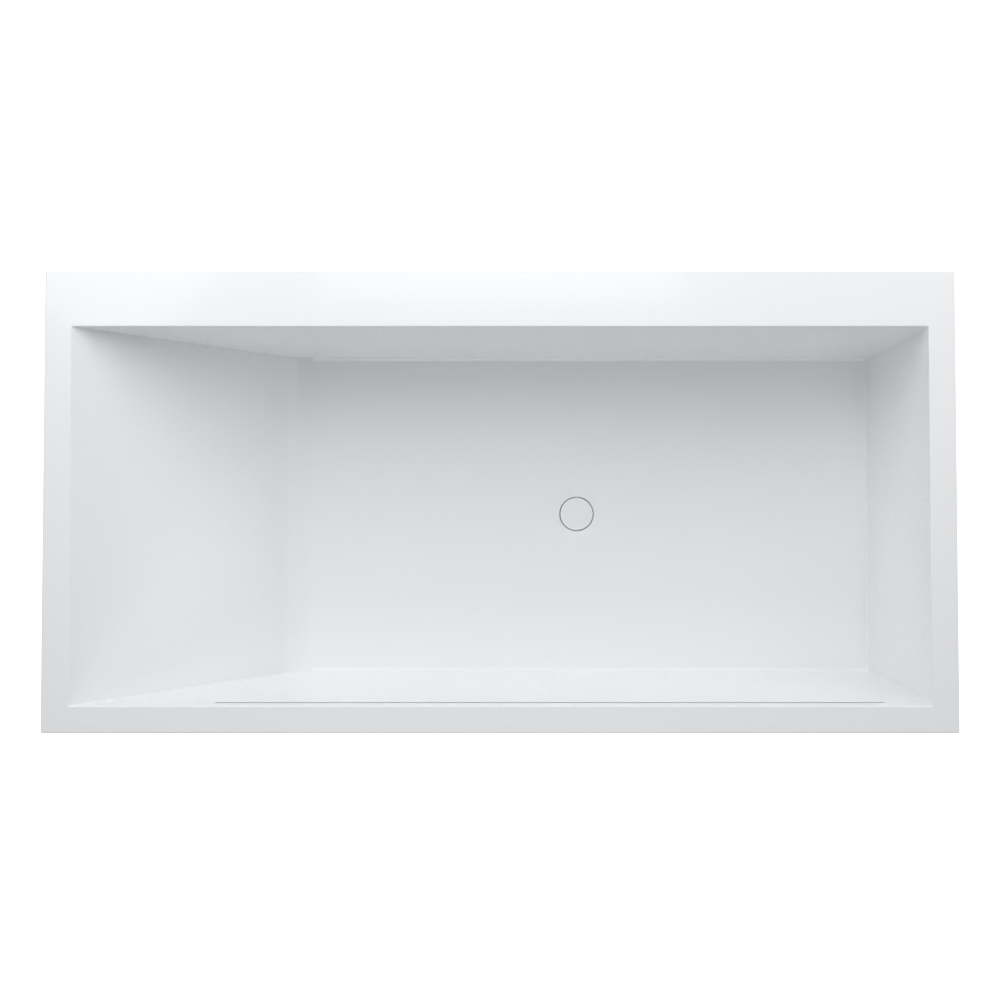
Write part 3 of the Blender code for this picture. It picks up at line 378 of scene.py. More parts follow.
def makeWellCutter(well):
    sizes = basinSizes
    above = well["rimTop"] + 2 * sizes["past"]
    bm = hopper(wellSides(well, above), wellSides(well, well["floor"]), above, well["floor"])
    atFloor = [edge for edge in bm.edges if edgeRuns(edge, 1) and middle(edge).x < 0
               and abs(middle(edge).z - well["floor"]) < nearness["plane"]]
    reach = sizes["backrestBlend"] / math.tan((math.pi - well["slope"]) / 2)
    bevelEdges(bm, atFloor, reach, sizes["blendSteps"])
    # the cove round the flat floor is wider than the rounding of the two upright corners
    coveReach = sizes["cove"] / math.tan((math.pi / 2 + well["lean"]) / 2)
    weights = bm.edges.layers.float.new("bevel_weight_edge")
    for edge in bm.edges:
        onFloor = all(abs(vert.co.z - well["floor"]) < nearness["plane"] for vert in edge.verts)
        upright = abs(edge.verts[0].co.z - edge.verts[1].co.z) > sizes["depth"] and middle(edge).x > 0
        if onFloor and not (edgeRuns(edge, 1) and middle(edge).x < 0):
            edge[weights] = 1.0
        elif upright:
            edge[weights] = sizes["cornerRound"] / coveReach
    cutter = fromBmesh("wellCutter", bm)
    cove = cutter.modifiers.new("Cove", "BEVEL")
    cove.limit_method = "WEIGHT"
    cove.width = coveReach
    cove.segments = sizes["coveSteps"]
    cove.profile = sizes["coveProfile"]
    cove.use_clamp_overlap = False
    return applyAll(cutter)


def makeBasinBlank(well, low, high):
    # the flat rim, with the basin's own outside and a boss for the drain under it
    sizes = basinSizes
    sidesAll = (low.x, high.x, low.y, high.y)
    bm = hopper(sidesAll, sidesAll, high.z, high.z - sizes["rimThickness"])
    bevelEdges(bm, [edge for edge in bm.edges if edgeRuns(edge, 2)], sizes["outerRound"], 6)
    top = [edge for edge in bm.edges if all(vert.co.z > high.z - nearness["axis"] for vert in edge.verts)]
    bevelEdges(bm, top, sizes["outerRound"], 6)
    piece = fromBmesh("basin", bm)
    under = well["floor"] - sizes["floorThickness"]
    bodyTop = high.z - sizes["rimThickness"] / 2
    wall = sizes["wall"]
    bm = hopper(wellSides(well, bodyTop, wall), wellSides(well, under, wall), bodyTop, under)
    head = [edge for edge in bm.edges if edgeRuns(edge, 1) and middle(edge).x < 0
            and abs(middle(edge).z - under) < nearness["plane"]]
    outerBlend = sizes["backrestBlend"] + wall
    bevelEdges(bm, head, outerBlend / math.tan((math.pi - well["slope"]) / 2), sizes["blendSteps"])
    combine(piece, fromBmesh("body", bm), "UNION")
    radius = sizes["dishRadius"]
    boss = [(0, under + sizes["floorThickness"] / 2), (radius, under + sizes["bossDepth"]), (radius, low.z),
            (0, low.z)]
    combine(piece, lathe("boss", boss, 96, False, drainPlace), "UNION")
    return piece


def roundRim(piece, well, level):
    # the rim's inner edge
    near = 10 * nearness["plane"]
    bm = bmesh.new()
    bm.from_mesh(piece.data)
    inner = [edge for edge in bm.edges
             if all(abs(vert.co.z - level) < nearness["plane"] for vert in edge.verts)
             and well["head"] - near < middle(edge).x < well["foot"] + near
             and well["front"] - near < middle(edge).y < well["back"] + near]
    bevelEdges(bm, inner, basinSizes["innerRound"], 5)
    bm.to_mesh(piece.data)
    bm.free()


def cutSlot(piece, well):
    # the overflow slot; its lower side falls away outwards, so that no water stands in it
    sizes = basinSizes
    slotLow = well["head"] + sizes["slotFromHead"]
    slotHigh = well["foot"] - sizes["slotFromFoot"]
    level = well["rimTop"] - sizes["slotDrop"]
    half = sizes["slotHeight"] / 2
    span = (slotLow, slotHigh, well["front"] - 3 * sizes["past"], well["front"] + 3 * sizes["past"])
    bm = hopper(span, span, level + half, level - half)
    bevelEdges(bm, [edge for edge in bm.edges if edgeRuns(edge, 1)], half * sizes["slotEnds"], 8)
    combine(piece, fromBmesh("slotCutter", bm))
    lip = wellSides(well, level - half)[2] - sizes["slotLip"]
    back = lip - sizes["wall"] - sizes["slotPast"]
    fall = (lip - back) * math.tan(math.radians(sizes["slotFall"]))
    outline = ((lip, level), (back, level), (back, level - half - fall), (lip, level - half))
    bm = bmesh.new()
    ends = [[bm.verts.new((x, y, z)) for y, z in outline] for x in (slotLow + half, slotHigh - half)]
    for number in range(4):
        following = (number + 1) % 4
        bm.faces.new((ends[0][number], ends[0][following], ends[1][following], ends[1][number]))
    for end in ends:
        bm.faces.new(end)
    bmesh.ops.recalc_face_normals(bm, faces=bm.faces)
    combine(piece, fromBmesh("slotFall", bm))


def cutDrain(piece, well):
    # a shallow dish, a pocket for the cover and its flange, and the hole
    sizes = basinSizes
    floor = well["floor"]
    coverLow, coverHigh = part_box("plug_cover")
    pocket = (coverHigh.x - coverLow.x) / 2 + sizes["coverRing"]
    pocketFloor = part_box("flange_gasket")[0].z - sizes["pocketRoom"]
    slope = sizes["dishDepth"] / (sizes["dishRadius"] - pocket)
    dishFloor = floor - sizes["dishDepth"]
    over = 0.002
    edge = sizes["pocketRound"]
    profile = [(0, floor + over), (sizes["dishRadius"] + over / slope, floor + over),
               (pocket + edge, dishFloor + edge * slope), (pocket + edge * 0.3, dishFloor - edge * 0.3),
               (pocket, dishFloor - edge), (pocket, pocketFloor), (0, pocketFloor)]
    combine(piece, lathe("dish", profile, 128, False, drainPlace))
    radius = sizes["holeRadius"]
    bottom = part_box("body_gasket")[1].z - sizes["past"]
    combine(piece, rod("hole", radius, floor, bottom, 64, drainPlace))


def makeBasin():
    low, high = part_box("basin_shell")
    well = wellShape(low, high)
    piece = makeBasinBlank(well, low, high)
    combine(piece, makeWellCutter(well))
    roundRim(piece, well, high.z)
    cutSlot(piece, well)
    cutDrain(piece, well)
    smoothPiece(piece, basinSizes["sharpAngle"], True)
    return finishPiece(piece, stoneMaterial, rootBody, "cast_stone_white", "basin_shell")


basinPiece = makeBasin()
print("basin made:", len(basinPiece.data.polygons), "faces")


skirtSizes = {"wall": 0.012, "outerRound": 0.003, "lowerRound": 0.002, "innerRound": 0.004, "past": 0.01}


def makeSkirt():
    low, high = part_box("outer_skirt")
    wall, past = skirtSizes["wall"], skirtSizes["past"]
    outer = (low.x, high.x, low.y, high.y)
    bm = hopper(outer, outer, high.z, low.z)
    bevelEdges(bm, [edge for edge in bm.edges if edgeRuns(edge, 2)], skirtSizes["outerRound"], 6)
    bottom = [edge for edge in bm.edges if all(vert.co.z < low.z + nearness["axis"] for vert in edge.verts)]
    bevelEdges(bm, bottom, skirtSizes["lowerRound"], 4)
    piece = fromBmesh("skirt", bm)
    inner = (low.x + wall, high.x - wall, low.y + wall, high.y - wall)
    bm = hopper(inner, inner, high.z + past, low.z - past)
    bevelEdges(bm, [edge for edge in bm.edges if edgeRuns(edge, 2)], skirtSizes["innerRound"], 5)
    combine(piece, fromBmesh("skirtInside", bm))
    smoothPiece(piece, basinSizes["sharpAngle"], True)
    return finishPiece(piece, stoneMaterial, rootBody, "cast_stone_white", "outer_skirt")


skirtPiece = makeSkirt()
print("skirt made")


def newTree(name, *inputs):
    tree = bpy.data.node_groups.new(name, "GeometryNodeTree")
    tree.is_modifier = True
    tree.interface.new_socket("Geometry", in_out="INPUT", socket_type="NodeSocketGeometry")
    for label, kind in inputs:
        tree.interface.new_socket(label, in_out="INPUT", socket_type=f"NodeSocket{kind}")
    tree.interface.new_socket("Material", in_out="INPUT", socket_type="NodeSocketMaterial")
    tree.interface.new_socket("Geometry", in_out="OUTPUT", socket_type="NodeSocketGeometry")
    return tree, addNode(tree, "NodeGroupInput").outputs


def addNode(tree, kind, inputs=None, **settings):
    # an input is given a socket to link from, or a plain value
    node = tree.nodes.new(kind)
    for key, value in settings.items():
        setattr(node, key, value)
    for key, value in (inputs or {}).items():
        if isinstance(value, bpy.types.NodeSocket):
            tree.links.new(value, node.inputs[key])
        else:
            node.inputs[key].default_value = value
    return node


def addMath(tree, operation, *values):
    return addNode(tree, "ShaderNodeMath", dict(enumerate(values)), operation=operation).outputs[0]


def addJoin(tree, *parts):
    joined = addNode(tree, "GeometryNodeJoinGeometry")
    for part in parts:
        tree.links.new(part, joined.inputs[0])
    return joined.outputs[0]


def endTree(tree, geometry, material):
    # real faces with their own finish
    real = addNode(tree, "GeometryNodeRealizeInstances", {"Geometry": geometry})
    painted = addNode(tree, "GeometryNodeSetMaterial", {"Geometry": real.outputs[0], "Material": material})
    out = addNode(tree, "NodeGroupOutput")
    tree.links.new(painted.outputs[0], out.inputs[0])
    return tree


def makeTubeTree():
    # a tube and its bore along a line; a ribbed hose dips between its rings, away from its two ends
    labels = ("Radius", "Bore", "Ring depth", "Ring pitch", "Plain end", "Step")
    tree, given = newTree("tubeAlongLine", *((label, "Float") for label in labels), ("Sides", "Int"))
    curve = addNode(tree, "GeometryNodeMeshToCurve", {"Mesh": given["Geometry"]})
    even = addNode(tree, "GeometryNodeResampleCurve", {"Curve": curve.outputs[0], "Length": given["Step"]},
                   mode="LENGTH")
    along = addNode(tree, "GeometryNodeSplineParameter").outputs["Length"]
    whole = addNode(tree, "GeometryNodeSplineLength").outputs["Length"]
    fromEnd = addMath(tree, "MINIMUM", along, addMath(tree, "SUBTRACT", whole, along))
    ribbed = addMath(tree, "GREATER_THAN", fromEnd, given["Plain end"])
    turn = addMath(tree, "MULTIPLY", addMath(tree, "DIVIDE", along, given["Ring pitch"]), math.tau)
    wave = addMath(tree, "MULTIPLY_ADD", addMath(tree, "COSINE", turn), 0.5, 0.5)
    dip = addMath(tree, "MULTIPLY", addMath(tree, "MULTIPLY", wave, given["Ring depth"]), ribbed)
    shells = []
    for radius in (given["Radius"], given["Bore"]):
        circle = addNode(tree, "GeometryNodeCurvePrimitiveCircle", {
            "Resolution": given["Sides"], "Radius": 1.0})
        shells.append(addNode(tree, "GeometryNodeCurveToMesh", {
            "Curve": even.outputs[0], "Profile Curve": circle.outputs[0],
            "Scale": addMath(tree, "SUBTRACT", radius, dip)}).outputs[0])
    bore = addNode(tree, "GeometryNodeFlipFaces", {"Mesh": shells[1]})
    return endTree(tree, addJoin(tree, bore.outputs[0], shells[0]), given["Material"])


def makeCoilTree():
    # a round wire in a helix about Z, added to what it is given: a spring, or the thread of a screw
    tree, given = newTree("coil", ("Coil radius", "Float"), ("Wire", "Float"), ("Turns", "Float"),
                          ("Height", "Float"), ("Place", "Vector"), ("Steps", "Int"), ("Sides", "Int"))
    spiral = addNode(tree, "GeometryNodeCurveSpiral", {
        "Resolution": given["Steps"], "Rotations": given["Turns"], "Start Radius": given["Coil radius"],
        "End Radius": given["Coil radius"], "Height": given["Height"]})
    circle = addNode(tree, "GeometryNodeCurvePrimitiveCircle", {
        "Resolution": given["Sides"], "Radius": given["Wire"]})
    wire = addNode(tree, "GeometryNodeCurveToMesh", {
        "Curve": spiral.outputs[0], "Profile Curve": circle.outputs[0], "Fill Caps": True})
    placed = addNode(tree, "GeometryNodeTransform", {
        "Geometry": wire.outputs[0], "Translation": given["Place"]})
    return endTree(tree, addJoin(tree, placed.outputs[0], given["Geometry"]), given["Material"])


def makeCopiesTree():
    # a copy of one object at each point, turned by the point's own angles
    tree, given = newTree("copiesAtPoints", ("Object", "Object"))
    turn = addNode(tree, "GeometryNodeInputNamedAttribute", {"Name": "turn"}, data_type="FLOAT_VECTOR")
    rotation = addNode(tree, "FunctionNodeEulerToRotation", {0: turn.outputs[0]})
    source = addNode(tree, "GeometryNodeObjectInfo", {"Object": given["Object"], "As Instance": True})
    copies = addNode(tree, "GeometryNodeInstanceOnPoints", {
        "Points": given["Geometry"], "Instance": source.outputs["Geometry"],
        "Rotation": rotation.outputs[0]})
    return endTree(tree, copies.outputs[0], given["Material"])


ribSides = 10


def makeRibTree():
    # upright grip ribs in a ring about Z, added to what it is given
    tree, given = newTree("ribRing", ("Count", "Int"), ("Ring radius", "Float"), ("Rib radius", "Float"),
                          ("Length", "Float"), ("Place", "Vector"))
    ring = addNode(tree, "GeometryNodeMeshCircle", {
        "Vertices": given["Count"], "Radius": given["Ring radius"]})
    rib = addNode(tree, "GeometryNodeMeshCylinder", {
        "Vertices": ribSides, "Radius": given["Rib radius"], "Depth": given["Length"]})
    ribs = addNode(tree, "GeometryNodeInstanceOnPoints", {
        "Points": ring.outputs[0], "Instance": rib.outputs[0]})
    placed = addNode(tree, "GeometryNodeTransform", {
        "Geometry": ribs.outputs[0], "Translation": given["Place"]})
    return endTree(tree, addJoin(tree, placed.outputs[0], given["Geometry"]), given["Material"])


tubeTree = makeTubeTree()
coilTree = makeCoilTree()
copiesTree = makeCopiesTree()
ribTree = makeRibTree()


def runTree(piece, tree, values):
    # inputs are set before the piece is first evaluated, and the result replaces its mesh
    change = piece.modifiers.new(tree.name, "NODES")
    change.node_group = tree
    for item in tree.interface.items_tree:
        if item.item_type == "SOCKET" and item.in_out == "INPUT" and item.name in values:
            change[item.identifier] = values[item.name]
    applyAll(piece)
    return piece


def lineMesh(name, points):
    mesh = bpy.data.meshes.new(name)
    mesh.from_pydata([tuple(point) for point in points], [(i, i + 1) for i in range(len(points) - 1)], [])
    return meshObject(name, mesh)


def addCoil(piece, radius, wire, turns, height, place, material, steps=20, sides=5):
    return runTree(piece, coilTree, {
        "Coil radius": radius, "Wire": wire, "Turns": turns, "Height": height, "Place": place,
        "Steps": steps, "Sides": sides, "Material": material})


def addRibs(piece, count, ringRadius, ribRadius, length, place, material):
    return runTree(piece, ribTree, {
        "Count": count, "Ring radius": ringRadius, "Rib radius": ribRadius, "Length": length,
        "Place": place, "Material": material})


def zincCopies(name, model, nodes, places, turns):
    # the model at each place, turned by the angles given for it
    mesh = bpy.data.meshes.new(name)
    mesh.from_pydata(places, [], [])
    turn = mesh.attributes.new("turn", "FLOAT_VECTOR", "POINT")
    for index, angles in enumerate(turns):
        turn.data[index].vector = angles
    piece = runTree(meshObject(name, mesh), copiesTree, {"Object": model, "Material": zincMaterial})
    bpy.data.objects.remove(model, do_unlink=True)
    return finishPiece(piece, zincMaterial, rootBody, "zinc_plate", *nodes)


def standing(nodes):
    # upright copies, each with its foot in the middle of its node's underside
    places = [(centreOf(node).x, centreOf(node).y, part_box(node)[0].z) for node in nodes]
    return places, [(0, 0, 0)] * len(nodes)


def joinPieces(name, parts):
    bm = bmesh.new()
    for part in parts:
        bm.from_mesh(part.data)
        bpy.data.objects.remove(part, do_unlink=True)
    return fromBmesh(name, bm)


def turnPiece(piece, axis, degrees, at):
    piece.data.transform(Matrix.Translation(at) @ Matrix.Rotation(math.radians(degrees), 4, axis))
    return piece


def hexBlock(name, flats, zLow, zHigh, chamfer):
    bm = bmesh.new()
    corner = flats / 2 / math.cos(math.pi / 6)
    bmesh.ops.create_cone(bm, cap_ends=True, segments=6, radius1=corner, radius2=corner, depth=zHigh - zLow,
                          matrix=Matrix.Translation((0, 0, (zLow + zHigh) / 2)))
    ends = [edge for edge in bm.edges if abs(edge.verts[0].co.z - edge.verts[1].co.z) < nearness["ring"]]
    bevelEdges(bm, ends, chamfer, 3)
    return fromBmesh(name, bm)


def arcRoute(corners, radius, steps=24):
    # a line through the corners, with a round bend at each
    route = [Vector(corners[0])]
    for before, corner, after in zip(corners, corners[1:], corners[2:]):
        corner = Vector(corner)
        inward = (Vector(before) - corner).normalized()
        onward = (Vector(after) - corner).normalized()
        half = inward.angle(onward) / 2
        centre = corner + (inward + onward).normalized() * radius / math.sin(half)
        start = corner + inward * radius / math.tan(half) - centre
        finish = corner + onward * radius / math.tan(half) - centre
        swing = start.angle(finish)
        for step in range(steps + 1):
            share = step / steps
            bent = start * math.sin((1 - share) * swing) + finish * math.sin(share * swing)
            route.append(centre + bent / math.sin(swing))
    return route + [Vector(corners[-1])]


def closeTube(piece):
    # rings of faces join the tube and its bore at both ends
    bm = bmesh.new()
    bm.from_mesh(piece.data)
    bmesh.ops.remove_doubles(bm, verts=bm.verts, dist=nearness["ring"])
    openEdges = [edge for edge in bm.edges if edge.is_boundary]
    start, finish = (edge.verts[0].co for edge in (openEdges[0], openEdges[-1]))
    near = [edge for edge in openEdges if (middle(edge) - start).length < (middle(edge) - finish).length]
    far = [edge for edge in openEdges if edge not in near]
    for loops in (near, far):
        bmesh.ops.bridge_loops(bm, edges=loops)
    bmesh.ops.recalc_face_normals(bm, faces=bm.faces)
    bm.to_mesh(piece.data)
    bm.free()
    return piece


easeAngles = {"flat": 1.0, "eased": 50, "sharp": 40}
smallEase = {"hard": 0.0004, "channel": 0.0008, "thin": 0.0002}
turnedSharp = 32  # degrees, for most turned and threaded parts


def softened(node, width, material, slotName, steps=2):
    # the same solid with its edges eased
    bm = bmesh.new()
    bm.from_mesh(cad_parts[node].data)
    bmesh.ops.remove_doubles(bm, verts=bm.verts, dist=nearness["solid"])
    bmesh.ops.dissolve_limit(bm, angle_limit=math.radians(easeAngles["flat"]), verts=bm.verts,
                             edges=bm.edges)
    piece = fromBmesh(node + ".soft", bm)
    ease = piece.modifiers.new("Ease", "BEVEL")
    ease.limit_method = "ANGLE"
    ease.angle_limit = math.radians(easeAngles["eased"])
    ease.width = width
    ease.segments = steps
    ease.use_clamp_overlap = True
    applyAll(piece)
    smoothPiece(piece, easeAngles["sharp"])
    return finishPiece(piece, material, rootBody, slotName, node)


def finishPlastic(piece, node):
    smoothPiece(piece, turnedSharp)
    return finishPiece(piece, plasticMaterial, rootBody, "moulded_plastic_white", node)


plugSizes = {"coverRound": 0.0014, "coverSteps": 128, "headHeight": 0.0015, "stemRadius": 0.004,
             "collarHeight": 0.0035, "collarRadius": 0.0065, "ease": 0.0004, "stemSteps": 48, "sharp": 30}


def makeCover():
    low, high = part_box("plug_cover")
    radius = (high.x - low.x) / 2
    corners = [(0, high.z), (radius, high.z), (radius, low.z), (0, low.z)]
    outline = openOutline(corners, plugSizes["coverRound"], 6)
    piece = lathe("plugCover", outline, plugSizes["coverSteps"], False, drainPlace)
    smoothPiece(piece, plugSizes["sharp"], True)
    return finishPiece(piece, stoneMaterial, "plug", "plug_white", "plug_cover")


def makeStem():
    low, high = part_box("plug_stem")
    head = (high.x - low.x) / 2
    stem, collar = plugSizes["stemRadius"], plugSizes["collarRadius"]
    underHead = high.z - plugSizes["headHeight"]
    collarTop = low.z + plugSizes["collarHeight"]
    corners = [(0, high.z), (head, high.z), (head, underHead), (stem, underHead), (stem, collarTop),
               (collar, collarTop), (collar, low.z), (0, low.z)]
    outline = openOutline(corners, plugSizes["ease"], 3)
    piece = lathe("plugStem", outline, plugSizes["stemSteps"], False, drainPlace)
    smoothPiece(piece, plugSizes["sharp"])
    return finishPiece(piece, chromeMaterial, "plug", "waste_chrome", "plug_stem")


springSizes = {"turns": 6.0, "wire": 0.0006, "steps": 32, "sides": 12}


def makeSpring():
    low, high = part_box("plug_spring")
    wire = springSizes["wire"]
    piece = meshObject("plugSpring", bpy.data.meshes.new("plugSpring"))
    addCoil(piece, (high.x - low.x) / 2 - wire, wire, springSizes["turns"], high.z - low.z - 2 * wire,
            onDrain(low.z + wire), steelMaterial, springSizes["steps"], springSizes["sides"])
    smoothPiece(piece, 50)
    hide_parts("plug_spring")
    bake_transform(piece)
    return piece


ringSizes = {  # bore radius, body and finish of each ring about the drain; outer sizes come from the frame
    "plug_seal": (0.0235, "plug", "rubber_black"),
    "flange_gasket": (0.0262, rootBody, "rubber_black"),
    "body_gasket": (0.0262, rootBody, "rubber_black"),
    "trap_washer": (0.0163, rootBody, "rubber_black"),
    "trap_gasket": (0.0430, rootBody, "rubber_black"),
}
ringShape = {"round": 0.35, "steps": 96, "sharp": 40}


def makeRing(node):
    bore, body, slotName = ringSizes[node]
    low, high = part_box(node)
    outer = (high.x - low.x) / 2
    corners = [(outer, high.z), (outer, low.z), (bore, low.z), (bore, high.z)]
    outline = roundedOutline(corners, (high.z - low.z) * ringShape["round"], 4)
    piece = lathe(node + ".ring", outline, ringShape["steps"], True, drainPlace)
    smoothPiece(piece, ringShape["sharp"])
    return finishPiece(piece, rubberMaterial, body, slotName, node)


wasteSizes = {"tube": 0.025, "bore": 0.0215, "flange": 0.0022, "ease": 0.0006, "threadDepth": 0.0005,
              "threadPitch": 0.002, "threadSteps": 64, "threadSides": 6, "steps": 96, "sharp": 35}


def makeFlange():
    sizes = wasteSizes
    low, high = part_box("waste_flange")
    outer, bore = (high.x - low.x) / 2, sizes["bore"]
    under = high.z - sizes["flange"]
    root, pitch = sizes["tube"] - sizes["threadDepth"], sizes["threadPitch"]
    corners = [(outer, high.z), (outer, under), (root, under), (root, low.z), (bore, low.z), (bore, high.z)]
    outline = roundedOutline(corners, sizes["ease"], 4)
    piece = lathe("wasteFlange", outline, sizes["steps"], True, drainPlace)
    run = under - low.z - 2 * pitch
    addCoil(piece, root, sizes["threadDepth"], run / pitch, run, onDrain(low.z + pitch), chromeMaterial,
            sizes["threadSteps"], sizes["threadSides"])
    smoothPiece(piece, sizes["sharp"])
    return finishPiece(piece, chromeMaterial, rootBody, "waste_chrome", "waste_flange")


bodySizes = {"plateRadius": 0.041, "plate": 0.006, "chamber": 0.030, "drop": 0.0334, "tail": 0.0205,
             "tailBore": 0.0175, "threadBore": 0.0253, "room": 0.0225, "reach": 0.0097, "floor": 0.003,
             "portRadius": 0.0082, "portBore": 0.0062, "portStart": 0.012, "portSteps": 48, "past": 0.004,
             "ease": 0.0008, "steps": 96}


def makeWasteBody():
    sizes = bodySizes
    low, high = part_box("waste_body")
    plate, chamber, tail, past = (sizes[key] for key in ("plateRadius", "chamber", "tail", "past"))
    under = high.z - sizes["plate"]
    chamberEnd = high.z - sizes["drop"]
    corners = [(0, high.z), (plate, high.z), (plate, under), (chamber, under), (chamber, chamberEnd),
               (tail, chamberEnd), (tail, low.z), (0, low.z)]
    piece = lathe("wasteBody", openOutline(corners, sizes["ease"], 3), sizes["steps"], False, drainPlace)
    portAt = onDrain(centreOf("hose_clip_bottom").z)
    length = drainAt.y - low.y
    port = rod("port", sizes["portRadius"], length, chamber - past, sizes["portSteps"])
    combine(piece, turnPiece(port, "X", 90, portAt), "UNION")
    thread, room, tailBore = (sizes[key] for key in ("threadBore", "room", "tailBore"))
    threadEnd = high.z - sizes["reach"]
    roomFloor = chamberEnd + sizes["floor"]
    bore = [(0, high.z + past), (thread, high.z + past), (thread, threadEnd), (room, threadEnd),
            (room, roomFloor), (tailBore, roomFloor), (tailBore, low.z - past), (0, low.z - past)]
    combine(piece, lathe("bodyBore", bore, sizes["steps"], False, drainPlace))
    portBore = rod("portBore", sizes["portBore"], length + past, sizes["portStart"], sizes["portSteps"])
    combine(piece, turnPiece(portBore, "X", 90, portAt))
    return finishPlastic(piece, "waste_body")


makeCover()
makeStem()
makeSpring()
for node in ringSizes:
    makeRing(node)
makeFlange()
makeWasteBody()
softened("plug_guide", smallEase["hard"], plasticMaterial, "moulded_plastic_white")
print("plug and waste made")


trapSizes = {"wall": 0.003, "collar": 0.003, "radius": 0.046, "foot": 0.004, "socket": 0.0205,
             "socketBore": 0.0172, "socketSteps": 64, "socketSink": 0.006, "boreSink": 0.012, "past": 0.004,
             "ease": 0.0007, "inlet": 0.0185, "inletBore": 0.016, "ring": 0.0025, "tailFlange": 0.0202,
             "room": 0.0003, "nutBore": 0.0208, "nutRibs": 18, "lidRibs": 30, "ribRadius": 0.0012,
             "ribLength": 0.8, "ribSink": 0.0002, "steps": 96}


def makeTrapPot():
    sizes = trapSizes
    low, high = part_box("trap_pot")
    radius, wall, past, collar = (sizes[key] for key in ("radius", "wall", "past", "collar"))
    under = high.z - collar
    corners = [(0, high.z), (radius + collar, high.z), (radius + collar, under), (radius, under),
               (radius, low.z), (0, low.z)]
    # the foot's corner, the last but one, has a wider rounding than the rest
    foot = openOutline(corners, sizes["foot"], 8)[-10:]
    outline = openOutline(corners, sizes["ease"], 3)[:-5] + foot
    piece = lathe("trapPot", outline, sizes["steps"], False, drainPlace)
    at = onDrain(centreOf("outlet_washer").z)
    length = high.x - drainAt.x
    socket = rod("socket", sizes["socket"], length, radius - sizes["socketSink"], sizes["socketSteps"])
    combine(piece, turnPiece(socket, "Y", 90, at), "UNION")
    inner = radius - wall
    combine(piece, rod("inside", inner, high.z + past, low.z + wall, sizes["steps"], drainPlace))
    outlet = rod("outlet", sizes["socketBore"], length + past, inner - sizes["boreSink"],
                 sizes["socketSteps"])
    combine(piece, turnPiece(outlet, "Y", 90, at))
    return finishPlastic(piece, "trap_pot")


def makeTrapLid():
    sizes = trapSizes
    low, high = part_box("trap_lid")
    inlet, bore, tail, room = (sizes[key] for key in ("inlet", "inletBore", "tailFlange", "room"))
    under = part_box("trap_gasket")[1].z + room
    top = under + sizes["collar"]
    underTail = high.z - sizes["collar"]
    outer = sizes["radius"] + sizes["collar"]
    ring = sizes["radius"] - sizes["wall"] - room
    ringBore = ring - sizes["ring"]
    ringEnd = centreOf("outlet_washer").z + sizes["socketBore"] + 2 * room
    corners = [(tail, high.z), (tail, underTail), (inlet, underTail), (inlet, top), (outer, top),
               (outer, under), (ring, under), (ring, ringEnd), (ringBore, ringEnd), (ringBore, under),
               (inlet, under), (inlet, low.z), (bore, low.z), (bore, high.z)]
    outline = roundedOutline(corners, sizes["ease"], 3)
    piece = lathe("trapLid", outline, sizes["steps"], True, drainPlace)
    addRibs(piece, sizes["lidRibs"], outer - room, sizes["ribRadius"], (top - under) * sizes["ribLength"],
            onDrain((top + under) / 2), plasticMaterial)
    return finishPlastic(piece, "trap_lid")


def makeNut(name, node, outline, place, degrees):
    # a turned nut with grip ribs round it; the outline starts with its outer side
    sizes = trapSizes
    (outer, high), (_, low) = outline[:2]
    piece = lathe(name, roundedOutline(outline, sizes["ease"], 3), sizes["steps"])
    addRibs(piece, sizes["nutRibs"], outer - sizes["ribSink"], sizes["ribRadius"],
            (high - low) * sizes["ribLength"], (0, 0, (high + low) / 2), plasticMaterial)
    turnPiece(piece, "Y", degrees, place)
    return finishPlastic(piece, node)


def makeTrapNuts():
    sizes = trapSizes
    bore, socketBore, inlet = sizes["nutBore"], sizes["socketBore"], sizes["inlet"] + sizes["room"]
    low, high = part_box("trap_nut")
    outer = (high.x - low.x) / 2
    lip = low.z + sizes["collar"]
    outline = [(outer, high.z), (outer, low.z), (inlet, low.z), (inlet, lip), (bore, lip), (bore, high.z)]
    makeNut("trapNut", "trap_nut", outline, drainPlace, 0)
    low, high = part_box("outlet_nut")
    outer = (high.z - low.z) / 2
    start, end = low.x - drainAt.x, high.x - drainAt.x
    lip = end - sizes["collar"]
    outline = [(outer, end), (outer, start), (bore, start), (bore, lip), (socketBore, lip),
               (socketBore, end)]
    makeNut("outletNut", "outlet_nut", outline, onDrain(centreOf("outlet_nut").z), 90)


tubeSizes = {
    "outlet": {"Radius": 0.0168, "Bore": 0.0148, "Ring depth": 0.0, "Ring pitch": 0.01, "Plain end": 1.0,
               "Step": 0.003, "Sides": 64},
    "hose": {"Radius": 0.0110, "Bore": 0.0090, "Ring depth": 0.0012, "Ring pitch": 0.0045,
             "Plain end": 0.021, "Step": 0.0006, "Sides": 36},
    "outletBend": 0.030,
    "hoseBend": 0.035,
    "sharp": 60,
}


def makeTube(name, node, corners, bend, sizes):
    line = lineMesh(name, arcRoute(corners, bend))
    piece = closeTube(runTree(line, tubeTree, {**sizes, "Material": hoseMaterial}))
    smoothPiece(piece, tubeSizes["sharp"])
    return finishPiece(piece, hoseMaterial, rootBody, "hose_grey", node)


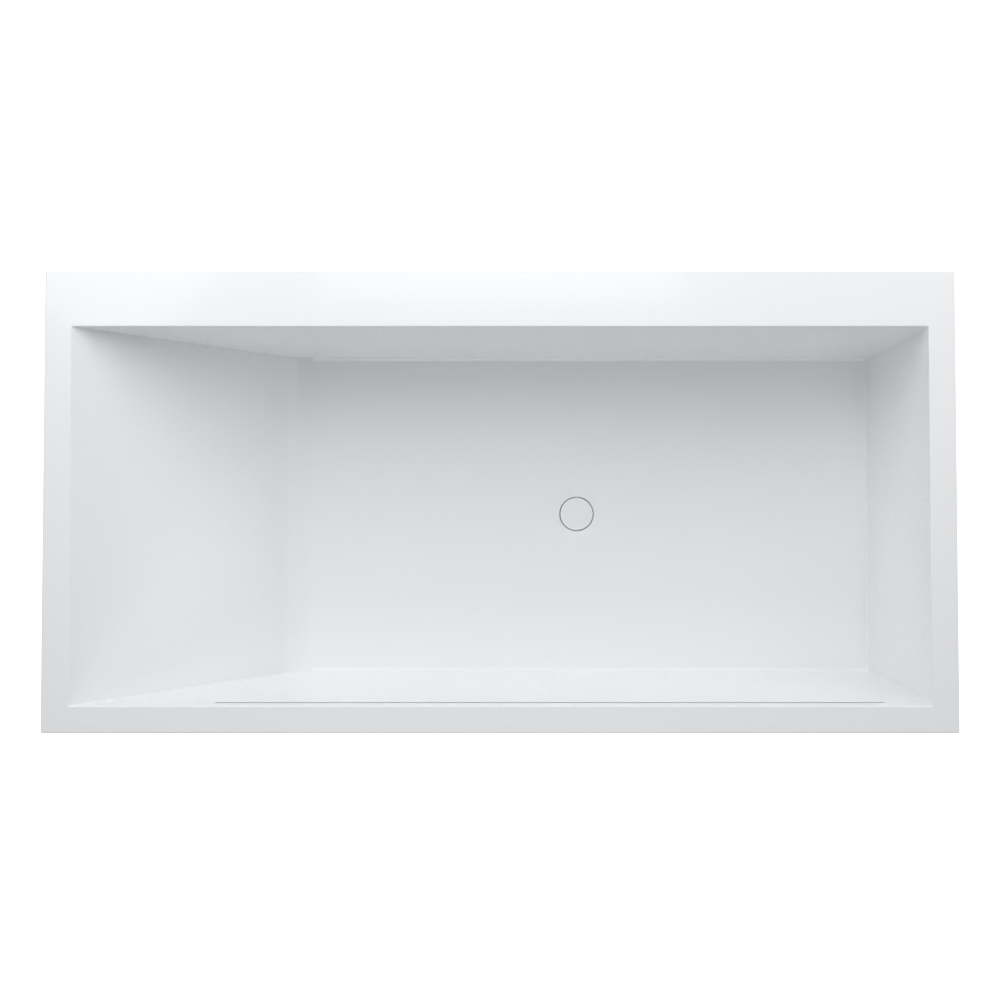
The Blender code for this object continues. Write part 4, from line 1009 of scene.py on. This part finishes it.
def makeTubes():
    low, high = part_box("outlet_pipe")
    level = centreOf("outlet_washer").z
    turnX = high.x - tubeSizes["outlet"]["Radius"]
    corners = [(low.x, drainAt.y, level), (turnX, drainAt.y, level), (turnX, drainAt.y, low.z)]
    makeTube("outletPipe", "outlet_pipe", corners, tubeSizes["outletBend"], tubeSizes["outlet"])
    low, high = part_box("overflow_hose")
    upright = centreOf("hose_clip_top")
    level = centreOf("hose_clip_bottom").z
    corners = [(upright.x, upright.y, high.z), (upright.x, upright.y, level), (upright.x, high.y, level)]
    makeTube("overflowHose", "overflow_hose", corners, tubeSizes["hoseBend"], tubeSizes["hose"])


clipSizes = {"bore": 0.0113, "thickness": 0.0012, "width": 0.010, "ease": 0.0004, "steps": 72, "slots": 26,
             "slotRadius": 0.0005, "slotSink": 0.0003, "slotLength": 0.5,
             "block": (0.0035, 0.0052, 0.0045), "blockOut": 0.8, "blockRound": 0.0012,
             "screwFlats": 0.006, "screwSink": 0.001, "screwHead": 0.0035, "screwRound": 0.0005}


def makeClip(name, node, turn):
    # a worm-drive band: the band, its screw housing and the hexagon-headed screw
    sizes = clipSizes
    half, bore = sizes["width"] / 2, sizes["bore"]
    outer = bore + sizes["thickness"]
    corners = [(outer, half), (outer, -half), (bore, -half), (bore, half)]
    band = lathe("band", roundedOutline(corners, sizes["ease"], 3), sizes["steps"])
    addRibs(band, sizes["slots"], outer - sizes["slotSink"], sizes["slotRadius"],
            sizes["width"] * sizes["slotLength"], (0, 0, 0), steelMaterial)
    deep, wide, tall = sizes["block"]
    blockAt = (outer + deep * sizes["blockOut"], 0, 0)
    bm = bmesh.new()
    bmesh.ops.create_cube(bm, size=2, matrix=Matrix.Translation(blockAt)
                          @ Matrix.Diagonal((deep, wide, tall, 1)))
    bevelEdges(bm, list(bm.edges), sizes["blockRound"], 3)
    block = fromBmesh("block", bm)
    screw = hexBlock("screw", sizes["screwFlats"], wide - sizes["screwSink"], wide + sizes["screwHead"],
                     sizes["screwRound"])
    turnPiece(screw, "X", 90, blockAt)
    piece = joinPieces(name, [band, block, screw])
    piece.data.transform(Matrix.Translation(centreOf(node)) @ turn)
    smoothPiece(piece, turnedSharp)
    return finishPiece(piece, steelMaterial, rootBody, "clip_steel", node)


makeTrapPot()
makeTrapLid()
makeTrapNuts()
makeTubes()
makeClip("hoseClipTop", "hose_clip_top", Matrix.Identity(4))
makeClip("hoseClipBottom", "hose_clip_bottom", Matrix.Rotation(math.radians(90), 4, "X"))
softened("outlet_washer", smallEase["hard"], rubberMaterial, "rubber_black")
softened("overflow_channel", smallEase["channel"], plasticMaterial, "moulded_plastic_white")
softened("overflow_gasket", smallEase["thin"], rubberMaterial, "rubber_black")
print("trap, outlet and overflow made")


barNames = ("head", "middle", "foot")
sideNames = ("front", "back")
endNames = ("head", "foot")
footCorners = [f"{end}_{side}" for end in endNames for side in sideNames]
frameSizes = {"railEase": 0.0012, "padEase": 0.0010}


def makeFrame():
    for side in sideNames:
        softened(f"rail_{side}", frameSizes["railEase"], paintMaterial, "frame_grey", 3)
    for bar in barNames:
        softened(f"cross_bar_{bar}", frameSizes["railEase"], paintMaterial, "frame_grey", 3)
        softened(f"bar_pad_{bar}", frameSizes["padEase"], rubberMaterial, "rubber_black", 3)


boltSizes = {"flats": 0.013, "head": 0.005, "headRound": 0.0008, "flange": 0.0013, "flangeRadius": 0.0078,
             "flangeRim": 0.0006, "shank": 0.004, "point": 0.0006, "threadDepth": 0.0004,
             "threadPitch": 0.00125, "flangeSteps": 48, "shankSteps": 32}


def makeBolts():
    sizes = boltSizes
    nodes = [f"bar_bolt_{bar}_{side}" for bar in barNames for side in sideNames]
    low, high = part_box(nodes[0])
    length = high.z - low.z
    top, radius, flats, pitch, point = (sizes[key] for key in (
        "head", "flangeRadius", "flats", "threadPitch", "point"))
    head = hexBlock("head", flats, 0, top - sizes["flange"] / 2, sizes["headRound"])
    flangeLow = top - sizes["flange"]
    rim = [(0, top), (radius, top), (radius, flangeLow + sizes["flangeRim"]), (flats / 2, flangeLow),
           (0, flangeLow)]
    flange = lathe("flange", rim, sizes["flangeSteps"], False)
    root = sizes["shank"] - sizes["threadDepth"]
    side = [(0, length), (root - point, length), (root, length - point), (root, flangeLow), (0, flangeLow)]
    shank = lathe("shank", side, sizes["shankSteps"], False)
    run = length - top - 2 * pitch
    addCoil(shank, root, sizes["threadDepth"], run / pitch, run, (0, 0, top + pitch), zincMaterial)
    model = smoothPiece(joinPieces("bolt", [head, flange, shank]), turnedSharp)
    return zincCopies("barBolts", model, nodes, *standing(nodes))


screwSizes = {"radius": 0.0025, "root": 0.8, "head": 0.005, "crown": 0.003, "point": 0.002,
              "recess": (0.0030, 0.0008, 0.0020), "pitch": 0.0012, "threadEnds": (0.0025, 0.0005),
              "crownSteps": 10, "steps": 40}


def makeScrews():
    # pan heads with a cross recess; each points out to the skirt
    sizes = screwSizes
    nodes = [f"skirt_screw_{end}_{side}" for end in endNames for side in sideNames]
    low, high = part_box(nodes[0])
    crown, steps = sizes["crown"], sizes["crownSteps"]
    tip = high.x - low.x - crown
    root = sizes["radius"] * sizes["root"]
    turns = [math.pi / 2 * step / steps for step in range(1, steps + 1)]
    outline = [(0, crown)] + [(sizes["head"] * math.sin(turn), crown * math.cos(turn)) for turn in turns]
    outline += [(root, 0), (root, sizes["point"] - tip), (0, -tip)]
    screw = lathe("screw", outline, sizes["steps"], False)
    for degrees in (0, 90):
        bm = bmesh.new()
        bmesh.ops.create_cube(bm, size=2, matrix=Matrix.Rotation(math.radians(degrees), 4, "Z")
                              @ Matrix.Translation((0, 0, crown)) @ Matrix.Diagonal((*sizes["recess"], 1)))
        combine(screw, fromBmesh("recess", bm))
    fromTip, fromHead = sizes["threadEnds"]
    run = tip - fromTip - fromHead
    addCoil(screw, root, sizes["radius"] - root, run / sizes["pitch"], run, (0, 0, fromTip - tip),
            zincMaterial)
    smoothPiece(screw, turnedSharp)
    places, angles = [], []
    for node in nodes:
        low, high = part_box(node)
        centre = centreOf(node)
        facing = 1 if centre.x < 0 else -1  # the head faces the middle of the tub
        places.append(((high.x - crown) if facing > 0 else (low.x + crown), centre.y, centre.z))
        angles.append((0, facing * math.pi / 2, 0))
    return zincCopies("skirtScrews", screw, nodes, places, angles)


footSizes = {"stud": 0.006, "threadDepth": 0.0005, "pitch": 0.00175, "threadSteps": 22, "chamfer": 0.001,
             "neck": 0.0036, "neckHeight": 0.002, "ball": 0.0071, "ballDrop": 0.002, "ballSteps": 8,
             "ballShare": 0.999, "driveFlats": 0.0171, "driveHeight": 0.008, "driveGap": 0.0003,
             "driveRound": 0.0008, "studSteps": 40}


def makeStud(corner):
    sizes = footSizes
    node = f"foot_stud_{corner}"
    low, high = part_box(node)
    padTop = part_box(f"foot_pad_{corner}")[1].z
    neck, pitch, chamfer = (sizes[key] for key in ("neck", "pitch", "chamfer"))
    root = sizes["stud"] - sizes["threadDepth"]
    neckTop = padTop + sizes["neckHeight"]
    threadLow = neckTop + sizes["neckHeight"]
    outline = [(0, high.z), (root - chamfer, high.z), (root, high.z - chamfer), (root, threadLow),
               (neck, neckTop), (neck, padTop)]
    ballHigh = padTop - sizes["ballDrop"]
    for step in range(sizes["ballSteps"] + 1):
        turn = math.pi / 2 * step / sizes["ballSteps"]
        outline.append((sizes["ball"] * math.cos(turn * sizes["ballShare"]),
                        ballHigh - (ballHigh - low.z) * math.sin(turn)))
    outline.append((0, low.z))
    stud = lathe("stud", outline, sizes["studSteps"], False)
    start = threadLow + pitch
    run = high.z - chamfer - start
    addCoil(stud, root, sizes["threadDepth"], run / pitch, run, (0, 0, start), zincMaterial,
            sizes["threadSteps"])
    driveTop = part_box(f"foot_nut_{corner}")[0].z - sizes["driveGap"]
    drive = hexBlock("drive", sizes["driveFlats"], driveTop - sizes["driveHeight"], driveTop,
                     sizes["driveRound"])
    piece = joinPieces(f"footStud.{corner}", [stud, drive])
    centre = centreOf(node)
    piece.data.transform(Matrix.Translation((centre.x, centre.y, 0)))
    smoothPiece(piece, turnedSharp)
    return finishPiece(piece, zincMaterial, node, "zinc_plate", node)


padSizes = {  # the side's points are shares of the pad's radius and height, from the top down
    "socket": 0.0075, "socketFloor": 0.0056, "round": 0.0009, "steps": 72, "tread": 0.0007, "lip": 0.0004,
    "side": ((0.55, 1), (0.62, 0.86), (0.93, 0.50), (1, 0.30), (1, 0)),
    "grooves": 5, "grooveSides": (0, 0.0006, 0.0014, 0.0020), "treadEdge": 0.003, "treadMiddle": 0.004,
}


def makePad(corner):
    # a rubber cup with a stepped skirt and a grooved tread
    sizes = padSizes
    node = f"foot_pad_{corner}"
    low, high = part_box(node)
    socket, floor, tread = (sizes[key] for key in ("socket", "socketFloor", "tread"))
    radius = (high.x - low.x) / 2
    corners = [(0, floor), (socket, floor), (socket, high.z)]
    corners += [(radius * across, high.z * up) for across, up in sizes["side"]] + [(0, 0)]
    outline = openOutline(corners, sizes["round"], 3)[:-5]
    outline += [(radius, tread), (radius - sizes["lip"], 0)]
    pitch = (radius - sizes["treadMiddle"]) / sizes["grooves"]
    for number in range(sizes["grooves"]):
        edge = radius - sizes["treadEdge"] - number * pitch
        depths = (0, tread, tread, 0)
        outline += [(edge - inward, depth) for inward, depth in zip(sizes["grooveSides"], depths)]
    outline.append((0, 0))
    centre = centreOf(node)
    piece = lathe(f"footPad.{corner}", outline, sizes["steps"], False, (centre.x, centre.y, 0))
    smoothPiece(piece, turnedSharp)
    return finishPiece(piece, rubberMaterial, node, "rubber_black", node)


nutSizes = {"flats": 0.019, "round": 0.0008, "bore": 0.0063, "boreHigh": 0.02, "boreLow": -0.01,
            "steps": 40}


def makeNuts():
    sizes = nutSizes
    nodes = [f"foot_nut_{corner}" for corner in footCorners]
    low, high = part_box(nodes[0])
    nut = hexBlock("nut", sizes["flats"], 0, high.z - low.z, sizes["round"])
    combine(nut, rod("nutBore", sizes["bore"], sizes["boreHigh"], sizes["boreLow"], sizes["steps"]))
    smoothPiece(nut, turnedSharp)
    return zincCopies("footNuts", nut, nodes, *standing(nodes))


makeFrame()
makeBolts()
makeScrews()
for corner in footCorners:
    makeStud(corner)
    makePad(corner)
makeNuts()
print("frame and feet made")


stageSizes = {"half": 40.0, "glow": 0.64, "colour": (0.93, 0.93, 0.93)}


def makeStage():
    bm = bmesh.new()
    bmesh.ops.create_grid(bm, x_segments=1, y_segments=1, size=stageSizes["half"])
    floor = fromBmesh("floor", bm)
    material, _, shader = newMaterial("floorPale", stageSizes["colour"], 0.8)
    shader.inputs["Emission Color"].default_value = (1, 1, 1, 1)
    shader.inputs["Emission Strength"].default_value = stageSizes["glow"]
    floor.data.materials.append(material)


lights = {  # place, size and power of each soft light; all aim at the middle of the rim
    "backHead": {"at": (-1.3, 2.6, 2.6), "size": 1.3, "power": 25.0},
    "aboveHead": {"at": (-1.3, 1.3, 3.0), "size": 1.3, "power": 16.6},
    "aboveMiddle": {"at": (0.0, 1.3, 3.0), "size": 1.3, "power": 13.9},
    "backMiddle": {"at": (0.0, 1.7, 1.7), "size": 1.3, "power": 1.0},
    "backFoot": {"at": (1.3, 1.7, 1.7), "size": 1.3, "power": 13.6},
    "aboveFoot": {"at": (1.3, 1.3, 3.0), "size": 1.3, "power": 1.4},
    "front": {"at": (0.0, -2.2, 3.0), "size": 1.5, "power": 15.0},
    "foot": {"at": (2.4, 0.2, 2.2), "size": 1.3, "power": 2.9},
}
lightColour = (0.973, 0.982, 1.0)
worldLevel = 0.228


def makeLights():
    # the lights behind the tub leave the skirt out, or its back would burn out
    spared = bpy.data.collections.new("sparedByBackLights")
    spared.objects.link(skirtPiece)
    spared.collection_objects[0].light_linking.link_state = "EXCLUDE"
    aim = Vector((0, 0, cadBox[1][2]))
    for name, values in lights.items():
        lamp = bpy.data.lights.new(name, "AREA")
        lamp.size = values["size"]
        lamp.color = lightColour
        lamp.energy = values["power"]
        made = bpy.data.objects.new(name, lamp)
        scene.collection.objects.link(made)
        made.location = values["at"]
        made.rotation_euler = (aim - made.location).to_track_quat("-Z", "Y").to_euler()
        if made.location.y > skirtPiece.dimensions.y:
            made.light_linking.receiver_collection = spared
    world = scene.world or bpy.data.worlds.new("World")
    scene.world = world
    world.use_nodes = True
    sky = world.node_tree.nodes["Background"]
    sky.inputs["Color"].default_value = (*lightColour, 1)
    sky.inputs["Strength"].default_value = worldLevel


cameraSizes = {"lens": 56.119, "sensor": 36.0, "tilt": 2.1165, "y": -0.00683, "aboveRim": 2.9018,
               "shiftY": -0.05384}


def makeCamera():
    seen = bpy.data.cameras.new("camera")
    seen.lens = cameraSizes["lens"]
    seen.sensor_width = cameraSizes["sensor"]
    seen.shift_y = cameraSizes["shiftY"]
    made = bpy.data.objects.new("camera", seen)
    scene.collection.objects.link(made)
    made.location = (0, cameraSizes["y"], cadBox[1][2] + cameraSizes["aboveRim"])
    made.rotation_euler = (math.radians(cameraSizes["tilt"]), 0, 0)
    scene.camera = made


makeStage()
makeLights()
makeCamera()
scene.view_settings.view_transform = "Standard"
print("stage, lights and camera set")
